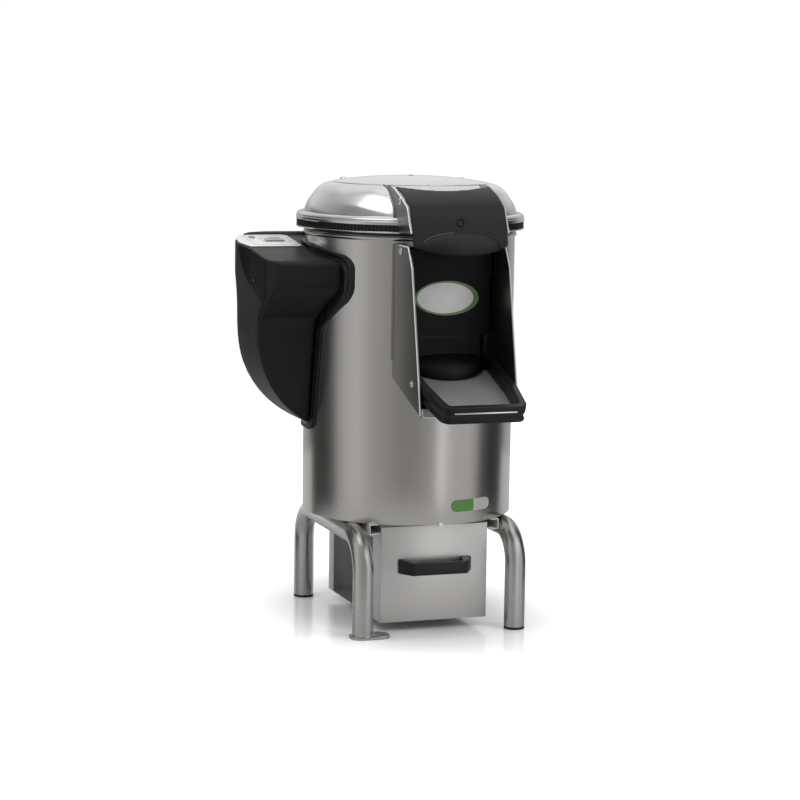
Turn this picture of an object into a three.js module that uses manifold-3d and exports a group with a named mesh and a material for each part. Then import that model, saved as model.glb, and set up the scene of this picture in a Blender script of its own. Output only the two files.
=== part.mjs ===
// Potato peeler: a steel drum on two bent tube frames, with a hinged domed lid, a discharge chute
// with a swinging door, a control box on its left side and a filter drawer below.
// Millimetres, +Z up, the chute faces -Y. Shapes are made about the drum's upright axis, and the
// whole is then moved so that the origin lies on the floor, in the middle of its outline.
import * as THREE from 'three';
import { mergeVertices } from 'three/addons/utils/BufferGeometryUtils.js';
import Module from 'manifold-3d';

const wasm = await Module();
wasm.setup();

// Clearances and counts
const fit = 0.3;
const runningGap = 1.2;
const overrun = 6;
const smallCorner = 4;
const midCorner = 8;
const softCorner = 14;
const weldTolerance = 0.0005;
const roundSides = 48;
const tubeSides = 12;
const smallSides = 16;
const arcSteps = 5;

// Drum
const drumRadius = 195;
const drumWall = 2;
const drumBottom = 200.3;
const drumHeight = 523.7;
const beadRadius = 3.5;
const beadDrop = 6;
const openingWidth = 144;
const openingDrop = 38;
const openingHeight = 204;

// Leg frames
const tubeRadius = 19;
const tubeWall = 2;
const legSpacing = 294;
const frontLegReach = 193;
const rearLegReach = 173;
const bendRadius = 62;
const footThickness = 5;
const plugLength = 14;
const anchorHalfWidth = 23;
const anchorReach = 50;
const anchorOverhang = 24;
const anchorHoleRadius = 5.5;
const anchorHoleInset = 14;

// Base deck, drawer rails and filter drawer
const deckThickness = 3;
const railSheet = 1.5;
const railHeight = 19;
const railLegGap = 3;
const railLedge = 16;
const drawerRailRoom = 22;
const drawerFloorHeight = 17;
const drawerFrontReach = 161;
const drawerRearReach = 151;
const drawerSheet = 1.5;
const drawerTopGap = 4;
const frontSheet = 2;
const runnerLip = 14;
const drawerRearStrip = 30;
const drawerFrontStrip = 44;
const drawerTopStrip = 16;
const handleHalfLength = 70;
const handleGripHalf = 50;
const handleDepth = 34;
const handleBar = 13;
const handleHeight = 26;
const handleCentreHeight = 121;

// Drive
const floorDrop = 42;
const floorThickness = 3;
const liningThickness = 4;
const liningGapBelow = 22;
const shaftRadius = 12;
const studRadius = 7;
const studLength = 22;
const shaftEndGap = 9;
const discGap = 14;
const discRim = 178;
const discThickness = 12;
const ridgeHeight = 7;
const ridgeWidth = 26;
const ridgeCount = 4;
const nutRadius = 20;
const nutHeight = 20;
const housingRadius = 34;
const housingFlange = 62;
const housingClearance = 44.7;
const housingFlangeThickness = 8;
const bearingRadius = 26;
const bearingHeight = 15;
const sealRadius = 20;
const sealHeight = 7;
const bossWall = 8;
const pulleyRadius = 75;
const driveRatio = 3;
const pulleyHeight = 20;
const pulleyLift = 22;
const grooveDepth = 6;
const beltThickness = 5;
const beltWidth = 12;
const motorRadius = 58;
const motorHeadroom = 60;
const motorOffsetX = 94;
const motorOffsetY = 50;
const motorShaftRadius = 9;
const motorShaftDepth = 26;
const finCount = 12;
const finDepth = 5;
const finWidth = 7;
const standThickness = 5;
const standGap = 11;
const standPost = 7;
const standReach = 66;
const pipeRadius = 28;
const pipeWall = 2.5;
const pipeReach = 132;

// Lid
const rimRadius = 212;
const rimBottomGap = 3;
const rimHeight = 30;
const rimLip = 6;
const rimChannelDepth = 7;
const rimInner = 190;
const sealRingWidth = 9;
const ribCount = 60;
const ribDepth = 2;
const domeFoot = 197;
const domeHeight = 52;
const domeWall = 2;
const capRadius = 144;
const capSeat = 10;
const capCrown = 15;
const capThickness = 3;
const hingeReach = 228;
const hingeDrop = 3;
const hingePinRadius = 5;
const knuckleRadius = 10;
const knuckleHalf = 20;
const earThickness = 9;
const bracketDepth = 14;
const bracketDrop = 22;
const bracketTopDrop = 12;
const pinHeadRadius = 8;
const pinHeadThickness = 3;

// Lid cheeks and hood
const cheekSpacing = 182;
const cheekSheet = 2;
const hoodFront = 272;
const hoodDrop = 18;
const hoodCrest = 78;
const hoodRear = 168;
const hoodShoulderRun = 46;
const hoodShoulderDrop = 13;
const hoodBrowRun = 80;
const hoodBrowDrop = 31;
const hoodNoseRun = 95;
const hoodNoseDrop = 62;
const hoodChinDrop = 92;
const hoodWall = 4;
const hoodProud = 4;
const lidCheekBottom = 4;
const gripHalfWidth = 74;
const gripBulge = 26;
const gripRise = 36;
const gripFall = 8;
const gripSag = 8;

// Chute
const chuteTopDrop = 14;
const chuteTopReach = 252;
const chuteShoulderDrop = 38;
const chuteShoulderReach = 275;
const chuteKneeReach = 317.5;
const chuteKneeRise = 59;
const chuteToeReach = 329;
const chuteHeelReach = 175;
const chuteHeelDrop = 13;
const chuteFallShare = 0.3377;
const chuteCorner = 9;
const chuteFloorSheet = 2;
const chuteLipHeight = 16;
const screwRadius = 4;
const screwHeadRadius = 6.5;
const screwHeadThickness = 2.5;
const doorPivotReach = 211;
const doorPivotDrop = 12;
const doorFace = 202;
const doorThickness = 4;
const doorCheekGap = 5;
const doorStepRise = 63;
const doorLowerHalf = 68;
const doorBottomGap = 3.5;
const doorTopDrop = 22;
const doorEarRadius = 9;
const doorEarThickness = 5;
const doorGripLift = 7;
const doorGripHalf = 72;
const doorGripReach = 48;
const doorGripRise = 40;
const doorGripFall = 10;
const doorGripSag = 16;
const badgeHalfWidth = 61;
const badgeHalfHeight = 31;
const badgeThickness = 1.5;
const badgeRise = 68;
const frameWidth = 9;
const frameThickness = 2;

// Tray
const traySlope = 18.5;
const trayPivotReach = 280;
const trayPivotDrop = 11;
const trayHeight = 31;
const trayRear = 74;
const trayOverhang = 83;
const trayTaperStart = 44;
const trayFrontHalf = 78;
const armThickness = 12;
const barDepth = 20;
const trayCorner = 14;
const trayBend = 30;
const trayFloorSheet = 2;
const trayFloorLift = 1;
const trayGroove = 5;
const stripHalfLength = 58;
const stripHeight = 5;
const stripThickness = 2;
const stripDrop = 8;

// Control box
const boxFace = 303;
const boxLobe = 18;
const lobeRise = 70;
const lobeBend = 30;
const boxFront = 107;
const boxNeck = 32;
const boxNeckFoot = 8;
const boxRear = 120;
const boxCrownRear = 150;
const boxCrownRun = 64;
const boxFrontTopDrop = 18;
const boxFrontDrop = 58;
const boxNeckDrop = 118;
const boxPanelFront = 0;
const boxPanelRise = 14;
const boxCrownStep = 6;
const boxCrownDrop = 12;
const boxCurveRise = 4;
const boxNeckHeight = 190;
const boxWall = 3;
const boxCorner = 26;
const flangeWidth = 20;
const flangeThickness = 5;
const flangeToeDrop = 10;
const panelWidth = 92;
const panelThickness = 1.5;
const panelInset = 4;
const startHalfWidth = 11;
const startHalfDepth = 6.5;
const stopHalfWidth = 18.5;
const stopHalfDepth = 9.5;
const buttonHeight = 1.2;
const buttonTravel = 1;
const buttonGap = 3;
const buttonStemRadius = 4;
const buttonOffset = 7;
const buttonDrop = 4;
const buttonStemLength = 14;
const knobRadius = 7;
const knobHeight = 3;
const knobOffset = 28;
const knobRise = 26;
const knobStemRadius = 3;
const glandRadius = 11;
const glandNutLength = 9;
const glandLength = 24;
const glandNeck = 7;
const glandBore = 4;
const glandInset = 34;
const glandDrop = 86;

// Water inlet at the back
const inletRadius = 11;
const inletWall = 2.5;
const inletLength = 34;
const inletFlange = 20;
const inletFlangeThickness = 4;
const inletDrop = 84;

// Heights and radii that follow from the sizes above
const drumTop = drumBottom + drumHeight;
const drumInner = drumRadius - drumWall;
const tubeTop = drumBottom - fit;
const frameHeight = tubeTop - tubeRadius;
const openingTop = drumTop - openingDrop;
const openingBottom = openingTop - openingHeight;
const floorHeight = openingBottom - floorDrop;
const deckTop = drumBottom + deckThickness;
const floorTop = floorHeight + floorThickness;
const liningOuter = drumInner - fit;
const liningInner = liningOuter - liningThickness;
const rimBottom = drumTop + rimBottomGap;
const rimTop = rimBottom + rimHeight;
const domeTop = rimTop + domeHeight;
const capTop = domeTop + capCrown;
const beltSeat = grooveDepth - fit;
const beltLine = pulleyRadius - beltSeat + beltThickness / 2;
const motorPulleyRadius = beltLine / driveRatio - beltThickness / 2 + beltSeat;
const railOuterHalf = legSpacing / 2 - tubeRadius - railLegGap;
const drawerHalfWidth = railOuterHalf - drawerRailRoom;
const cheekInner = cheekSpacing / 2 - cheekSheet;
const cheekOuter = cheekSpacing / 2;
const hingeHeight = rimBottom + rimHeight / 2 - hingeDrop;
const chuteTop = drumTop - chuteTopDrop;
const chuteHeelHeight = openingBottom - chuteHeelDrop;
const chuteToeHeight = chuteHeelHeight - chuteFallShare * (chuteToeReach - chuteHeelReach);
const chuteKneeHeight = chuteToeHeight + chuteKneeRise;
const doorHalfWidth = cheekInner - doorCheekGap;
const doorPivotHeight = chuteTop - doorPivotDrop;
const doorTopHeight = chuteTop - doorTopDrop;
const doorStep = openingBottom + doorStepRise;
const doorGripHeight = openingBottom + doorGripLift;
const badgeHeight = doorStep + badgeRise;
const trayPivotHeight = openingBottom - trayPivotDrop;
const trayFront = chuteToeReach - trayPivotReach + trayOverhang;
const boxCrownHeight = drumTop - boxCrownDrop;
const boxPanelRearHeight = boxCrownHeight - boxCrownStep;
const boxPanelFrontHeight = boxPanelRearHeight - boxPanelRise;
const boxFrontTop = boxPanelFrontHeight - boxFrontTopDrop;
const boxNeckTop = boxFrontTop - boxNeckDrop;
const boxCurveTop = boxNeckTop + boxCurveRise;
const boxToe = boxNeckTop - boxNeckHeight;
const glandHeight = boxNeckTop - glandDrop;
const inletHeight = drumTop - inletDrop;
const traySlopeAngle = THREE.MathUtils.degToRad(traySlope);
const panelDepth = boxRear - boxPanelFront;
const panelTilt = Math.atan2(boxPanelRearHeight - boxPanelFrontHeight, panelDepth);

// Finishes
const steel = { color: 0xb4b2ae, metalness: 0.9, roughness: 0.34 };
const polished = { color: 0xd2d2d0, metalness: 0.95, roughness: 0.16 };
const castIron = { color: 0x5b5d60, metalness: 0.6, roughness: 0.6 };
const blackPlastic = { color: 0x2c2c2e, metalness: 0, roughness: 0.55 };
const rubber = { color: 0x1d1d1e, metalness: 0, roughness: 0.85 };
const grit = { color: 0x6d6459, metalness: 0, roughness: 0.95 };
const whitePlastic = { color: 0xe6e7e3, metalness: 0, roughness: 0.4 };
const greenPlastic = { color: 0x2f8a4c, metalness: 0, roughness: 0.4 };
const redPlastic = { color: 0xb3312c, metalness: 0, roughness: 0.4 };
const bluePaint = { color: 0x4c6073, metalness: 0.3, roughness: 0.5 };

const machine = new THREE.Group();

// Merges shared corners, drops faces with no area and turns the skin outwards.
function closed(geometry) {
  const bare = geometry.clone();
  bare.deleteAttribute('normal');
  bare.deleteAttribute('uv');
  const merged = mergeVertices(bare, weldTolerance);
  const index = merged.index.array;
  const at = merged.attributes.position.array;
  const kept = [];
  let volume = 0;
  const corner = (i) => new THREE.Vector3(at[3 * i], at[3 * i + 1], at[3 * i + 2]);
  for (let i = 0; i < index.length; i += 3) {
    const [a, b, c] = [index[i], index[i + 1], index[i + 2]];
    if (a === b || b === c || c === a) continue;
    kept.push(a, b, c);
    volume += corner(a).dot(corner(b).cross(corner(c)));
  }
  if (volume < 0) kept.reverse();
  merged.setIndex(kept);
  return merged;
}

function solid(geometry) {
  const skin = closed(geometry);
  return new wasm.Manifold(new wasm.Mesh({
    numProp: 3,
    vertProperties: new Float32Array(skin.attributes.position.array),
    triVerts: new Uint32Array(skin.index.array),
  }));
}

function asSolid(shape) {
  return shape.isBufferGeometry ? solid(shape) : shape;
}

function cut(body, ...tools) {
  return tools.reduce((left, tool) => left.subtract(asSolid(tool)), asSolid(body));
}

function join(body, ...others) {
  return others.reduce((sum, other) => sum.add(asSolid(other)), asSolid(body));
}

function common(body, ...others) {
  return others.reduce((rest, other) => rest.intersect(asSolid(other)), asSolid(body));
}

function geometryOf(shape) {
  if (shape.isBufferGeometry) return closed(shape);
  const mesh = shape.getMesh();
  const geometry = new THREE.BufferGeometry();
  geometry.setAttribute('position', new THREE.BufferAttribute(mesh.vertProperties, 3));
  geometry.setIndex(new THREE.BufferAttribute(mesh.triVerts, 1));
  return geometry;
}

// Adds one named piece to its group.
function piece(name, shape, finish, group = machine) {
  const geometry = geometryOf(shape).toNonIndexed();
  geometry.computeVertexNormals();
  const mesh = new THREE.Mesh(geometry, new THREE.MeshStandardMaterial(finish));
  mesh.name = name;
  group.add(mesh);
  return mesh;
}

function block(x0, x1, y0, y1, z0, z1) {
  const geometry = new THREE.BoxGeometry(x1 - x0, y1 - y0, z1 - z0);
  return geometry.translate((x0 + x1) / 2, (y0 + y1) / 2, (z0 + z1) / 2);
}

// Turns a profile of [radius, height] pairs about the upright axis.
function turned(profile, sides = roundSides) {
  const points = profile.map(([r, z]) => new THREE.Vector2(Math.max(r, 0), z));
  if (profile[0][0] > 0) points.push(points[0].clone());
  return new THREE.LatheGeometry(points, sides).rotateX(Math.PI / 2);
}

function ring(inner, outer, z0, z1, sides = roundSides) {
  return turned([[inner, z0], [outer, z0], [outer, z1], [inner, z1]], sides);
}

function rod(radius, z0, z1, sides = smallSides) {
  return turned([[0, z0], [radius, z0], [radius, z1], [0, z1]], sides);
}

// A rod that lies along X, centred on the line at y, z.
function crossRod(radius, x0, x1, y, z, sides = smallSides) {
  return rod(radius, x0, x1, sides).rotateY(Math.PI / 2).translate(0, y, z);
}

function outline(points) {
  return new THREE.Shape(points.map(([u, v]) => new THREE.Vector2(u, v)));
}

function extrude(shape, depth, curveSegments = arcSteps) {
  return new THREE.ExtrudeGeometry(shape, { depth, bevelEnabled: false, curveSegments });
}

// The shape's two directions are Y and Z, and it runs along X.
function alongX(shape, x0, x1, curveSegments) {
  const turn = new THREE.Matrix4().set(0, 0, 1, x0, 1, 0, 0, 0, 0, 1, 0, 0, 0, 0, 0, 1);
  return extrude(shape, x1 - x0, curveSegments).applyMatrix4(turn);
}

// The shape's two directions are X and Z, and it runs along Y.
function alongY(shape, y0, y1, curveSegments) {
  const turn = new THREE.Matrix4().set(1, 0, 0, 0, 0, 0, -1, y1, 0, 1, 0, 0, 0, 0, 0, 1);
  return extrude(shape, y1 - y0, curveSegments).applyMatrix4(turn);
}

function alongZ(shape, z0, z1, curveSegments) {
  return extrude(shape, z1 - z0, curveSegments).translate(0, 0, z0);
}

// A closed outline whose corners are rounded by arcs of the radius given with each corner.
function rounded(corners) {
  const shape = new THREE.Shape();
  const count = corners.length;
  corners.forEach(([u, v, radius], i) => {
    const here = new THREE.Vector2(u, v);
    const before = new THREE.Vector2(...corners[(i + count - 1) % count].slice(0, 2)).sub(here);
    const after = new THREE.Vector2(...corners[(i + 1) % count].slice(0, 2)).sub(here);
    const half = Math.acos(before.dot(after) / before.length() / after.length()) / 2;
    const run = Math.min(radius / Math.tan(half), before.length() / 2, after.length() / 2);
    const start = here.clone().addScaledVector(before.clone().normalize(), run);
    const end = here.clone().addScaledVector(after.clone().normalize(), run);
    if (i === 0) shape.moveTo(start.x, start.y);
    else shape.lineTo(start.x, start.y);
    if (run > 0) shape.quadraticCurveTo(u, v, end.x, end.y);
  });
  shape.closePath();
  return shape;
}

// A route of straight runs and round bends with one station at each end of a run.
class Route extends THREE.Curve {
  constructor(stations) {
    super();
    this.stations = stations;
  }

  getPoint(t) {
    return this.stations[Math.round(t * (this.stations.length - 1))].at.clone();
  }

  getPointAt(u) {
    return this.getPoint(u);
  }

  getTangentAt(u) {
    return this.stations[Math.round(u * (this.stations.length - 1))].heading.clone();
  }

  getSpacedPoints() {
    return this.stations.map((station) => station.at.clone());
  }
}

function mirrored(side) {
  return side < 0 ? 'left' : 'right';
}

// Leg frames: one bent tube on each side, and a plate welded under one foot of each
function legRoute(x) {
  const stations = [];
  const add = (y, z, dy, dz) => stations.push({
    at: new THREE.Vector3(x, y, z),
    heading: new THREE.Vector3(0, dy, dz),
  });
  const bend = (centreY, from, to) => {
    for (let step = 0; step <= arcSteps; step += 1) {
      const angle = from + (to - from) * step / arcSteps;
      const centreZ = frameHeight - bendRadius;
      add(centreY - bendRadius * Math.cos(angle), centreZ + bendRadius * Math.sin(angle),
        Math.sin(angle), Math.cos(angle));
    }
  };
  add(-frontLegReach, footThickness - fit, 0, 1);
  bend(bendRadius - frontLegReach, 0, Math.PI / 2);
  bend(rearLegReach - bendRadius, Math.PI / 2, Math.PI);
  add(rearLegReach, footThickness - fit, 0, -1);
  return new Route(stations);
}

function legFrame(side) {
  const x = side * legSpacing / 2;
  const section = new THREE.Shape().absarc(0, 0, tubeRadius, 0, 2 * Math.PI);
  section.holes.push(new THREE.Path().absarc(0, 0, tubeRadius - tubeWall, 0, 2 * Math.PI, true));
  const extrudePath = legRoute(x);
  const steps = extrudePath.stations.length - 1;
  const tube = new THREE.ExtrudeGeometry(section, {
    steps, extrudePath, curveSegments: tubeSides / 2,
  });
  const plateY = side < 0 ? -frontLegReach : rearLegReach;
  const plugY = side < 0 ? rearLegReach : -frontLegReach;
  const foot = new THREE.Shape();
  const corner = anchorHalfWidth / 2;
  foot.absarc(anchorReach - anchorHalfWidth, 0, anchorHalfWidth, -Math.PI / 2, Math.PI / 2);
  foot.lineTo(corner - anchorOverhang, anchorHalfWidth);
  foot.lineTo(-anchorOverhang, corner);
  foot.lineTo(-anchorOverhang, -corner);
  foot.lineTo(corner - anchorOverhang, -anchorHalfWidth);
  foot.closePath();
  const bolt = rod(anchorHoleRadius, -overrun, footThickness + overrun, tubeSides)
    .translate(anchorReach - anchorHoleInset, 0, 0);
  const plate = cut(alongZ(foot, 0, footThickness), bolt);
  const turn = side < 0 ? 0 : Math.PI;
  const placed = geometryOf(plate).rotateZ(turn).translate(x, plateY, 0);
  const trim = block(x - 2 * tubeRadius, x + 2 * tubeRadius, plugY - 2 * tubeRadius,
    plugY + 2 * tubeRadius, 0, footThickness + fit);
  return cut(join(tube, placed), trim);
}

for (const side of [-1, 1]) {
  piece(`leg_frame_${mirrored(side)}`, legFrame(side), steel);
  const plug = turned([
    [0, 0], [tubeRadius, 0], [tubeRadius, footThickness],
    [tubeRadius - tubeWall - fit, footThickness],
    [tubeRadius - tubeWall - fit, footThickness + plugLength], [0, footThickness + plugLength],
  ], tubeSides);
  const place = side < 0 ? 'rear_left' : 'front_right';
  const mesh = piece(`foot_plug_${place}`, plug, rubber);
  mesh.position.set(side * legSpacing / 2, side < 0 ? rearLegReach : -frontLegReach, 0);
}

// Drum shell with a rolled bead near its top, and the discharge opening in front
function drumShell() {
  const beadHeight = drumTop - beadDrop;
  const bead = [-90, -30, 30, 90].map((turn) => {
    const angle = THREE.MathUtils.degToRad(turn);
    return [drumRadius + beadRadius * Math.cos(angle), beadHeight + beadRadius * Math.sin(angle)];
  });
  const wall = turned([
    [drumInner, drumBottom], [drumRadius, drumBottom], ...bead, [drumRadius, drumTop],
    [drumInner, drumTop],
  ]);
  return cut(wall, openingCutter(openingWidth / 2), pipeCutter(inletRadius + fit));
}

function openingCutter(halfWidth, grow = 0) {
  return block(-halfWidth, halfWidth, -drumRadius - overrun, 0, openingBottom - grow, openingTop + grow);
}

// The water inlet runs level through the drum's back wall.
function inletRod(radius, from, to) {
  return rod(radius, from, to).rotateX(-Math.PI / 2).translate(0, 0, inletHeight);
}

function pipeCutter(radius) {
  return inletRod(radius, drumInner - liningThickness - overrun, drumRadius + overrun);
}

piece('drum_shell', drumShell(), steel);

piece('base_deck', cut(
  rod(drumInner - fit, drumBottom, deckTop, roundSides),
  rod(pipeRadius + fit, drumBottom - overrun, deckTop + overrun).translate(0, pipeReach, 0),
), steel);

// Waste pipe from the chamber down to the drawer
const pipeTop = floorTop;
const wastePipe = turned([
  [pipeRadius - pipeWall, drumBottom], [pipeRadius, drumBottom], [pipeRadius, floorHeight - fit],
  [pipeRadius + pipeWall, floorHeight - fit], [pipeRadius + pipeWall, floorHeight - fit - pipeWall],
].slice(0, 3).concat([[pipeRadius, pipeTop], [pipeRadius - pipeWall, pipeTop]]), smallSides);
piece('waste_pipe', wastePipe, steel).position.set(0, pipeReach, 0);

// Chamber floor with a raised boss that the shaft seal sits on
piece('chamber_floor', cut(
  turned([
    [bearingRadius - bossWall, floorHeight], [drumInner - fit, floorHeight], [drumInner - fit, floorTop],
    [bearingRadius, floorTop], [bearingRadius - bossWall, floorTop],
  ]),
  rod(pipeRadius + fit, floorHeight - overrun, floorTop + overrun).translate(0, pipeReach, 0),
), steel);

piece('abrasive_lining', cut(
  ring(liningInner, liningOuter, floorTop + liningGapBelow, drumTop - beadDrop),
  openingCutter(openingWidth / 2),
  pipeCutter(inletRadius + fit),
), grit);

// Bearing housing under the chamber floor, two bearings and the shaft seal
const housingTop = floorHeight - fit;
const housingBottom = deckTop + pulleyLift + pulleyHeight + housingClearance;
const bearingSeat = bearingRadius + fit;
const housingBore = shaftRadius + bossWall;
piece('bearing_housing', turned([
  [bearingSeat, housingBottom], [housingRadius, housingBottom],
  [housingRadius, housingTop - housingFlangeThickness],
  [housingFlange, housingTop - housingFlangeThickness], [housingFlange, housingTop],
  [bearingSeat, housingTop], [bearingSeat, housingTop - bearingHeight - fit],
  [housingBore, housingTop - bearingHeight - fit], [housingBore, housingBottom + bearingHeight + fit],
  [bearingSeat, housingBottom + bearingHeight + fit],
], smallSides * 2), castIron);
for (const [name, bottom] of [['upper_bearing', housingTop - bearingHeight], ['lower_bearing', housingBottom]]) {
  piece(name, ring(shaftRadius + fit, bearingRadius, bottom, bottom + bearingHeight, smallSides * 2), steel);
}
piece('shaft_seal', ring(shaftRadius + fit, bearingRadius - bossWall - fit, floorHeight, floorTop + sealHeight,
  smallSides * 2), rubber);

// Rotor: shaft, driven pulley, abrasive disc and its nut, all on the drum's axis
const pulleyBottom = deckTop + pulleyLift;
const pulleyTop = pulleyBottom + pulleyHeight;
const discBottom = floorTop + discGap;
const discTop = discBottom + discThickness;

function grooved(radius, bore, sides = smallSides * 2) {
  const middle = (pulleyBottom + pulleyTop) / 2;
  const lip = (pulleyHeight - beltWidth) / 2;
  return turned([
    [bore, pulleyBottom], [radius, pulleyBottom], [radius, pulleyBottom + lip],
    [radius - grooveDepth, middle - beltWidth / 4], [radius - grooveDepth, middle + beltWidth / 4],
    [radius, pulleyTop - lip], [radius, pulleyTop], [bore, pulleyTop],
  ], sides);
}

function abrasiveDisc() {
  const plate = turned([
    [studRadius + fit, discBottom], [discRim, discBottom], [discRim, discTop],
    [shaftRadius, discTop], [studRadius + fit, discTop],
  ]);
  const ridges = Array.from({ length: ridgeCount }, (_, i) => {
    const half = ridgeWidth / 2;
    const low = discTop - discThickness / 2;
    const crest = outline([[-half, low], [half, low], [half / 3, discTop + ridgeHeight],
      [-half / 3, discTop + ridgeHeight]]);
    return alongX(crest, nutRadius + bossWall, discRim - bossWall)
      .rotateZ(2 * Math.PI * i / ridgeCount + Math.PI / ridgeCount);
  });
  return join(plate, ...ridges);
}

piece('drive_shaft', turned([
  [0, pulleyBottom - shaftEndGap], [shaftRadius, pulleyBottom - shaftEndGap], [shaftRadius, discBottom - fit],
  [studRadius, discBottom - fit], [studRadius, discTop + studLength - bossWall],
  [0, discTop + studLength - bossWall],
], smallSides * 2), steel);
piece('driven_pulley', grooved(pulleyRadius, shaftRadius + fit), castIron);
piece('abrasive_disc', abrasiveDisc(), grit);
piece('disc_nut', turned([
  [studRadius + fit, discTop + fit], [nutRadius, discTop + fit], [nutRadius, discTop + nutHeight / 2],
  [nutRadius / 2, discTop + nutHeight + studLength / 4], [0, discTop + nutHeight + studLength / 4],
  [0, discTop + studLength - bossWall + fit], [studRadius + fit, discTop + studLength - bossWall + fit],
], smallSides), steel);

// Motor on its stand, with its shaft and pulley, and the belt round both pulleys
const motorBottom = pulleyTop + standGap + standThickness + fit;
const motorTop = floorHeight - motorHeadroom;
const motorPlace = new THREE.Vector3(-motorOffsetX, -motorOffsetY, 0);
const drive = new THREE.Group();
drive.position.copy(motorPlace);
machine.add(drive);

function motorBody() {
  const barrel = turned([
    [0, motorBottom], [motorRadius - finDepth, motorBottom], [motorRadius - finDepth, motorTop],
    [motorRadius / 2, motorTop + finDepth], [0, motorTop + finDepth],
  ], smallSides * 2);
  const fins = Array.from({ length: finCount }, (_, i) => block(motorRadius / 2, motorRadius,
    -finWidth / 2, finWidth / 2, motorBottom + finDepth, motorTop - finDepth)
    .rotateZ(2 * Math.PI * i / finCount));
  const bore = rod(motorShaftRadius + fit, motorBottom - overrun, motorBottom + motorShaftDepth + fit);
  return cut(join(barrel, ...fins), bore);
}

piece('motor_body', motorBody(), bluePaint, drive);
piece('motor_shaft', rod(motorShaftRadius, pulleyBottom, motorBottom + motorShaftDepth, smallSides * 2), steel, drive);
piece('motor_pulley', grooved(motorPulleyRadius, motorShaftRadius + fit), castIron, drive);

function motorStand() {
  const top = motorBottom - fit;
  const away = Math.atan2(motorPlace.y, motorPlace.x);
  const posts = [Math.PI / 2.2, -Math.PI / 2.2, 0].map((turn) => {
    const angle = away + turn;
    const reach = standReach - standPost;
    return rod(standPost, deckTop + fit, top - standThickness / 2)
      .translate(reach * Math.cos(angle), reach * Math.sin(angle), 0);
  });
  const plate = ring(motorShaftRadius + standPost, standReach, top - standThickness, top, smallSides * 2);
  return join(plate, ...posts);
}

piece('motor_stand', motorStand(), steel, drive);

// The belt is a band round two circles, tangent to both.
function driveBelt() {
  const span = motorPlace.length();
  const big = pulleyRadius - beltSeat;
  const small = motorPulleyRadius - beltSeat;
  const band = (grow) => {
    const lean = Math.acos((big - small) / span);
    const shape = new THREE.Shape();
    shape.absarc(0, 0, big + grow, lean, 2 * Math.PI - lean);
    shape.absarc(span, 0, small + grow, -lean, lean);
    shape.closePath();
    return shape;
  };
  const middle = (pulleyBottom + pulleyTop) / 2;
  const half = beltWidth / 4 - fit;
  const outer = alongZ(band(beltThickness), middle - half, middle + half, smallSides);
  const inner = alongZ(band(0), middle - half - overrun, middle + half + overrun, smallSides);
  return geometryOf(cut(outer, inner)).rotateZ(Math.atan2(motorPlace.y, motorPlace.x));
}

piece('drive_belt', driveBelt(), rubber);

// Lid: a channel rim with a ribbed band in it, a seal ring, a spun dome and a crowned cap
const channelBottom = rimBottom + rimLip;
const channelTop = rimTop - 2 * rimLip;
const channelInner = rimRadius - rimChannelDepth;
const chamfer = rimLip / 2;

piece('lid_rim', turned([
  [rimInner, rimBottom], [rimRadius - chamfer, rimBottom], [rimRadius, rimBottom + chamfer],
  [rimRadius, channelBottom], [channelInner, channelBottom], [channelInner, channelTop],
  [rimRadius, channelTop], [rimRadius, rimTop - rimLip], [rimRadius - chamfer, rimTop - chamfer],
  [domeFoot + chamfer, rimTop], [rimInner, rimTop],
]), polished);

// The ribbed band's outline goes in and out round its edge.
function ribbedBand() {
  const shape = new THREE.Shape();
  const outer = rimRadius - ribDepth / 2;
  const steps = ribCount * 2;
  for (let step = 0; step < steps; step += 1) {
    const angle = 2 * Math.PI * (step + 0.5) / steps;
    const radius = step % 2 ? outer : outer - ribDepth;
    const [x, y] = [radius * Math.cos(angle), radius * Math.sin(angle)];
    if (step === 0) shape.moveTo(x, y);
    else shape.lineTo(x, y);
  }
  shape.closePath();
  const bore = rod(channelInner + fit, channelBottom - overrun, channelTop + overrun, roundSides);
  return cut(alongZ(shape, channelBottom + fit, channelTop - fit), bore);
}

piece('rim_gasket', ribbedBand(), rubber);
piece('lid_seal', ring(drumInner - sealRingWidth / 2, drumRadius + sealRingWidth / 2, drumTop + fit, rimBottom - fit),
  rubber);

const capShares = [1, 0.8, 0.55, 0.28, 0];
const domeShares = [[1, 0], [0.975, 0.17], [0.944, 0.42], [0.919, 0.635], [0.853, 0.846]];

function domeProfile(grow) {
  const outer = domeShares.map(([across, up]) => [domeFoot * across + grow, rimTop + domeHeight * up + grow]);
  return outer;
}

function lidDome() {
  const outer = domeProfile(0);
  outer[0][1] = rimTop + fit;
  const seat = capRadius - capSeat;
  const inner = domeProfile(-domeWall).filter((_, i) => i % 2 === 0).reverse();
  inner[inner.length - 1][1] = rimTop + fit;
  return turned([...outer, [capRadius, domeTop], [seat, domeTop], [seat, domeTop - domeWall], ...inner]);
}

piece('lid_dome', lidDome(), polished);

function lidCap() {
  const rise = capCrown - capThickness;
  const top = capShares.map((across) => [capRadius * across,
    domeTop + fit + capThickness + rise * (1 - across ** 2)]);
  const under = top.slice(1).reverse().map(([r, z]) => [r, z - capThickness]);
  return turned([...under, [capRadius, domeTop + fit], ...top]);
}

piece('lid_cap', lidCap(), polished);

// Everything of the lid's outer surface, with a clearance, to seat other pieces on it
function lidBulk(grow) {
  return turned([
    [0, rimBottom - grow], [rimRadius + grow, rimBottom - grow], [rimRadius + grow, rimTop - rimLip + grow],
    [rimRadius - chamfer + grow, rimTop - chamfer + grow],
    [domeFoot + chamfer + grow, rimTop + grow], ...domeProfile(grow), [capRadius + grow, domeTop + grow],
    [capRadius + grow, domeTop + capThickness + 2 * grow], [0, capTop + 2 * grow],
  ]);
}

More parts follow.
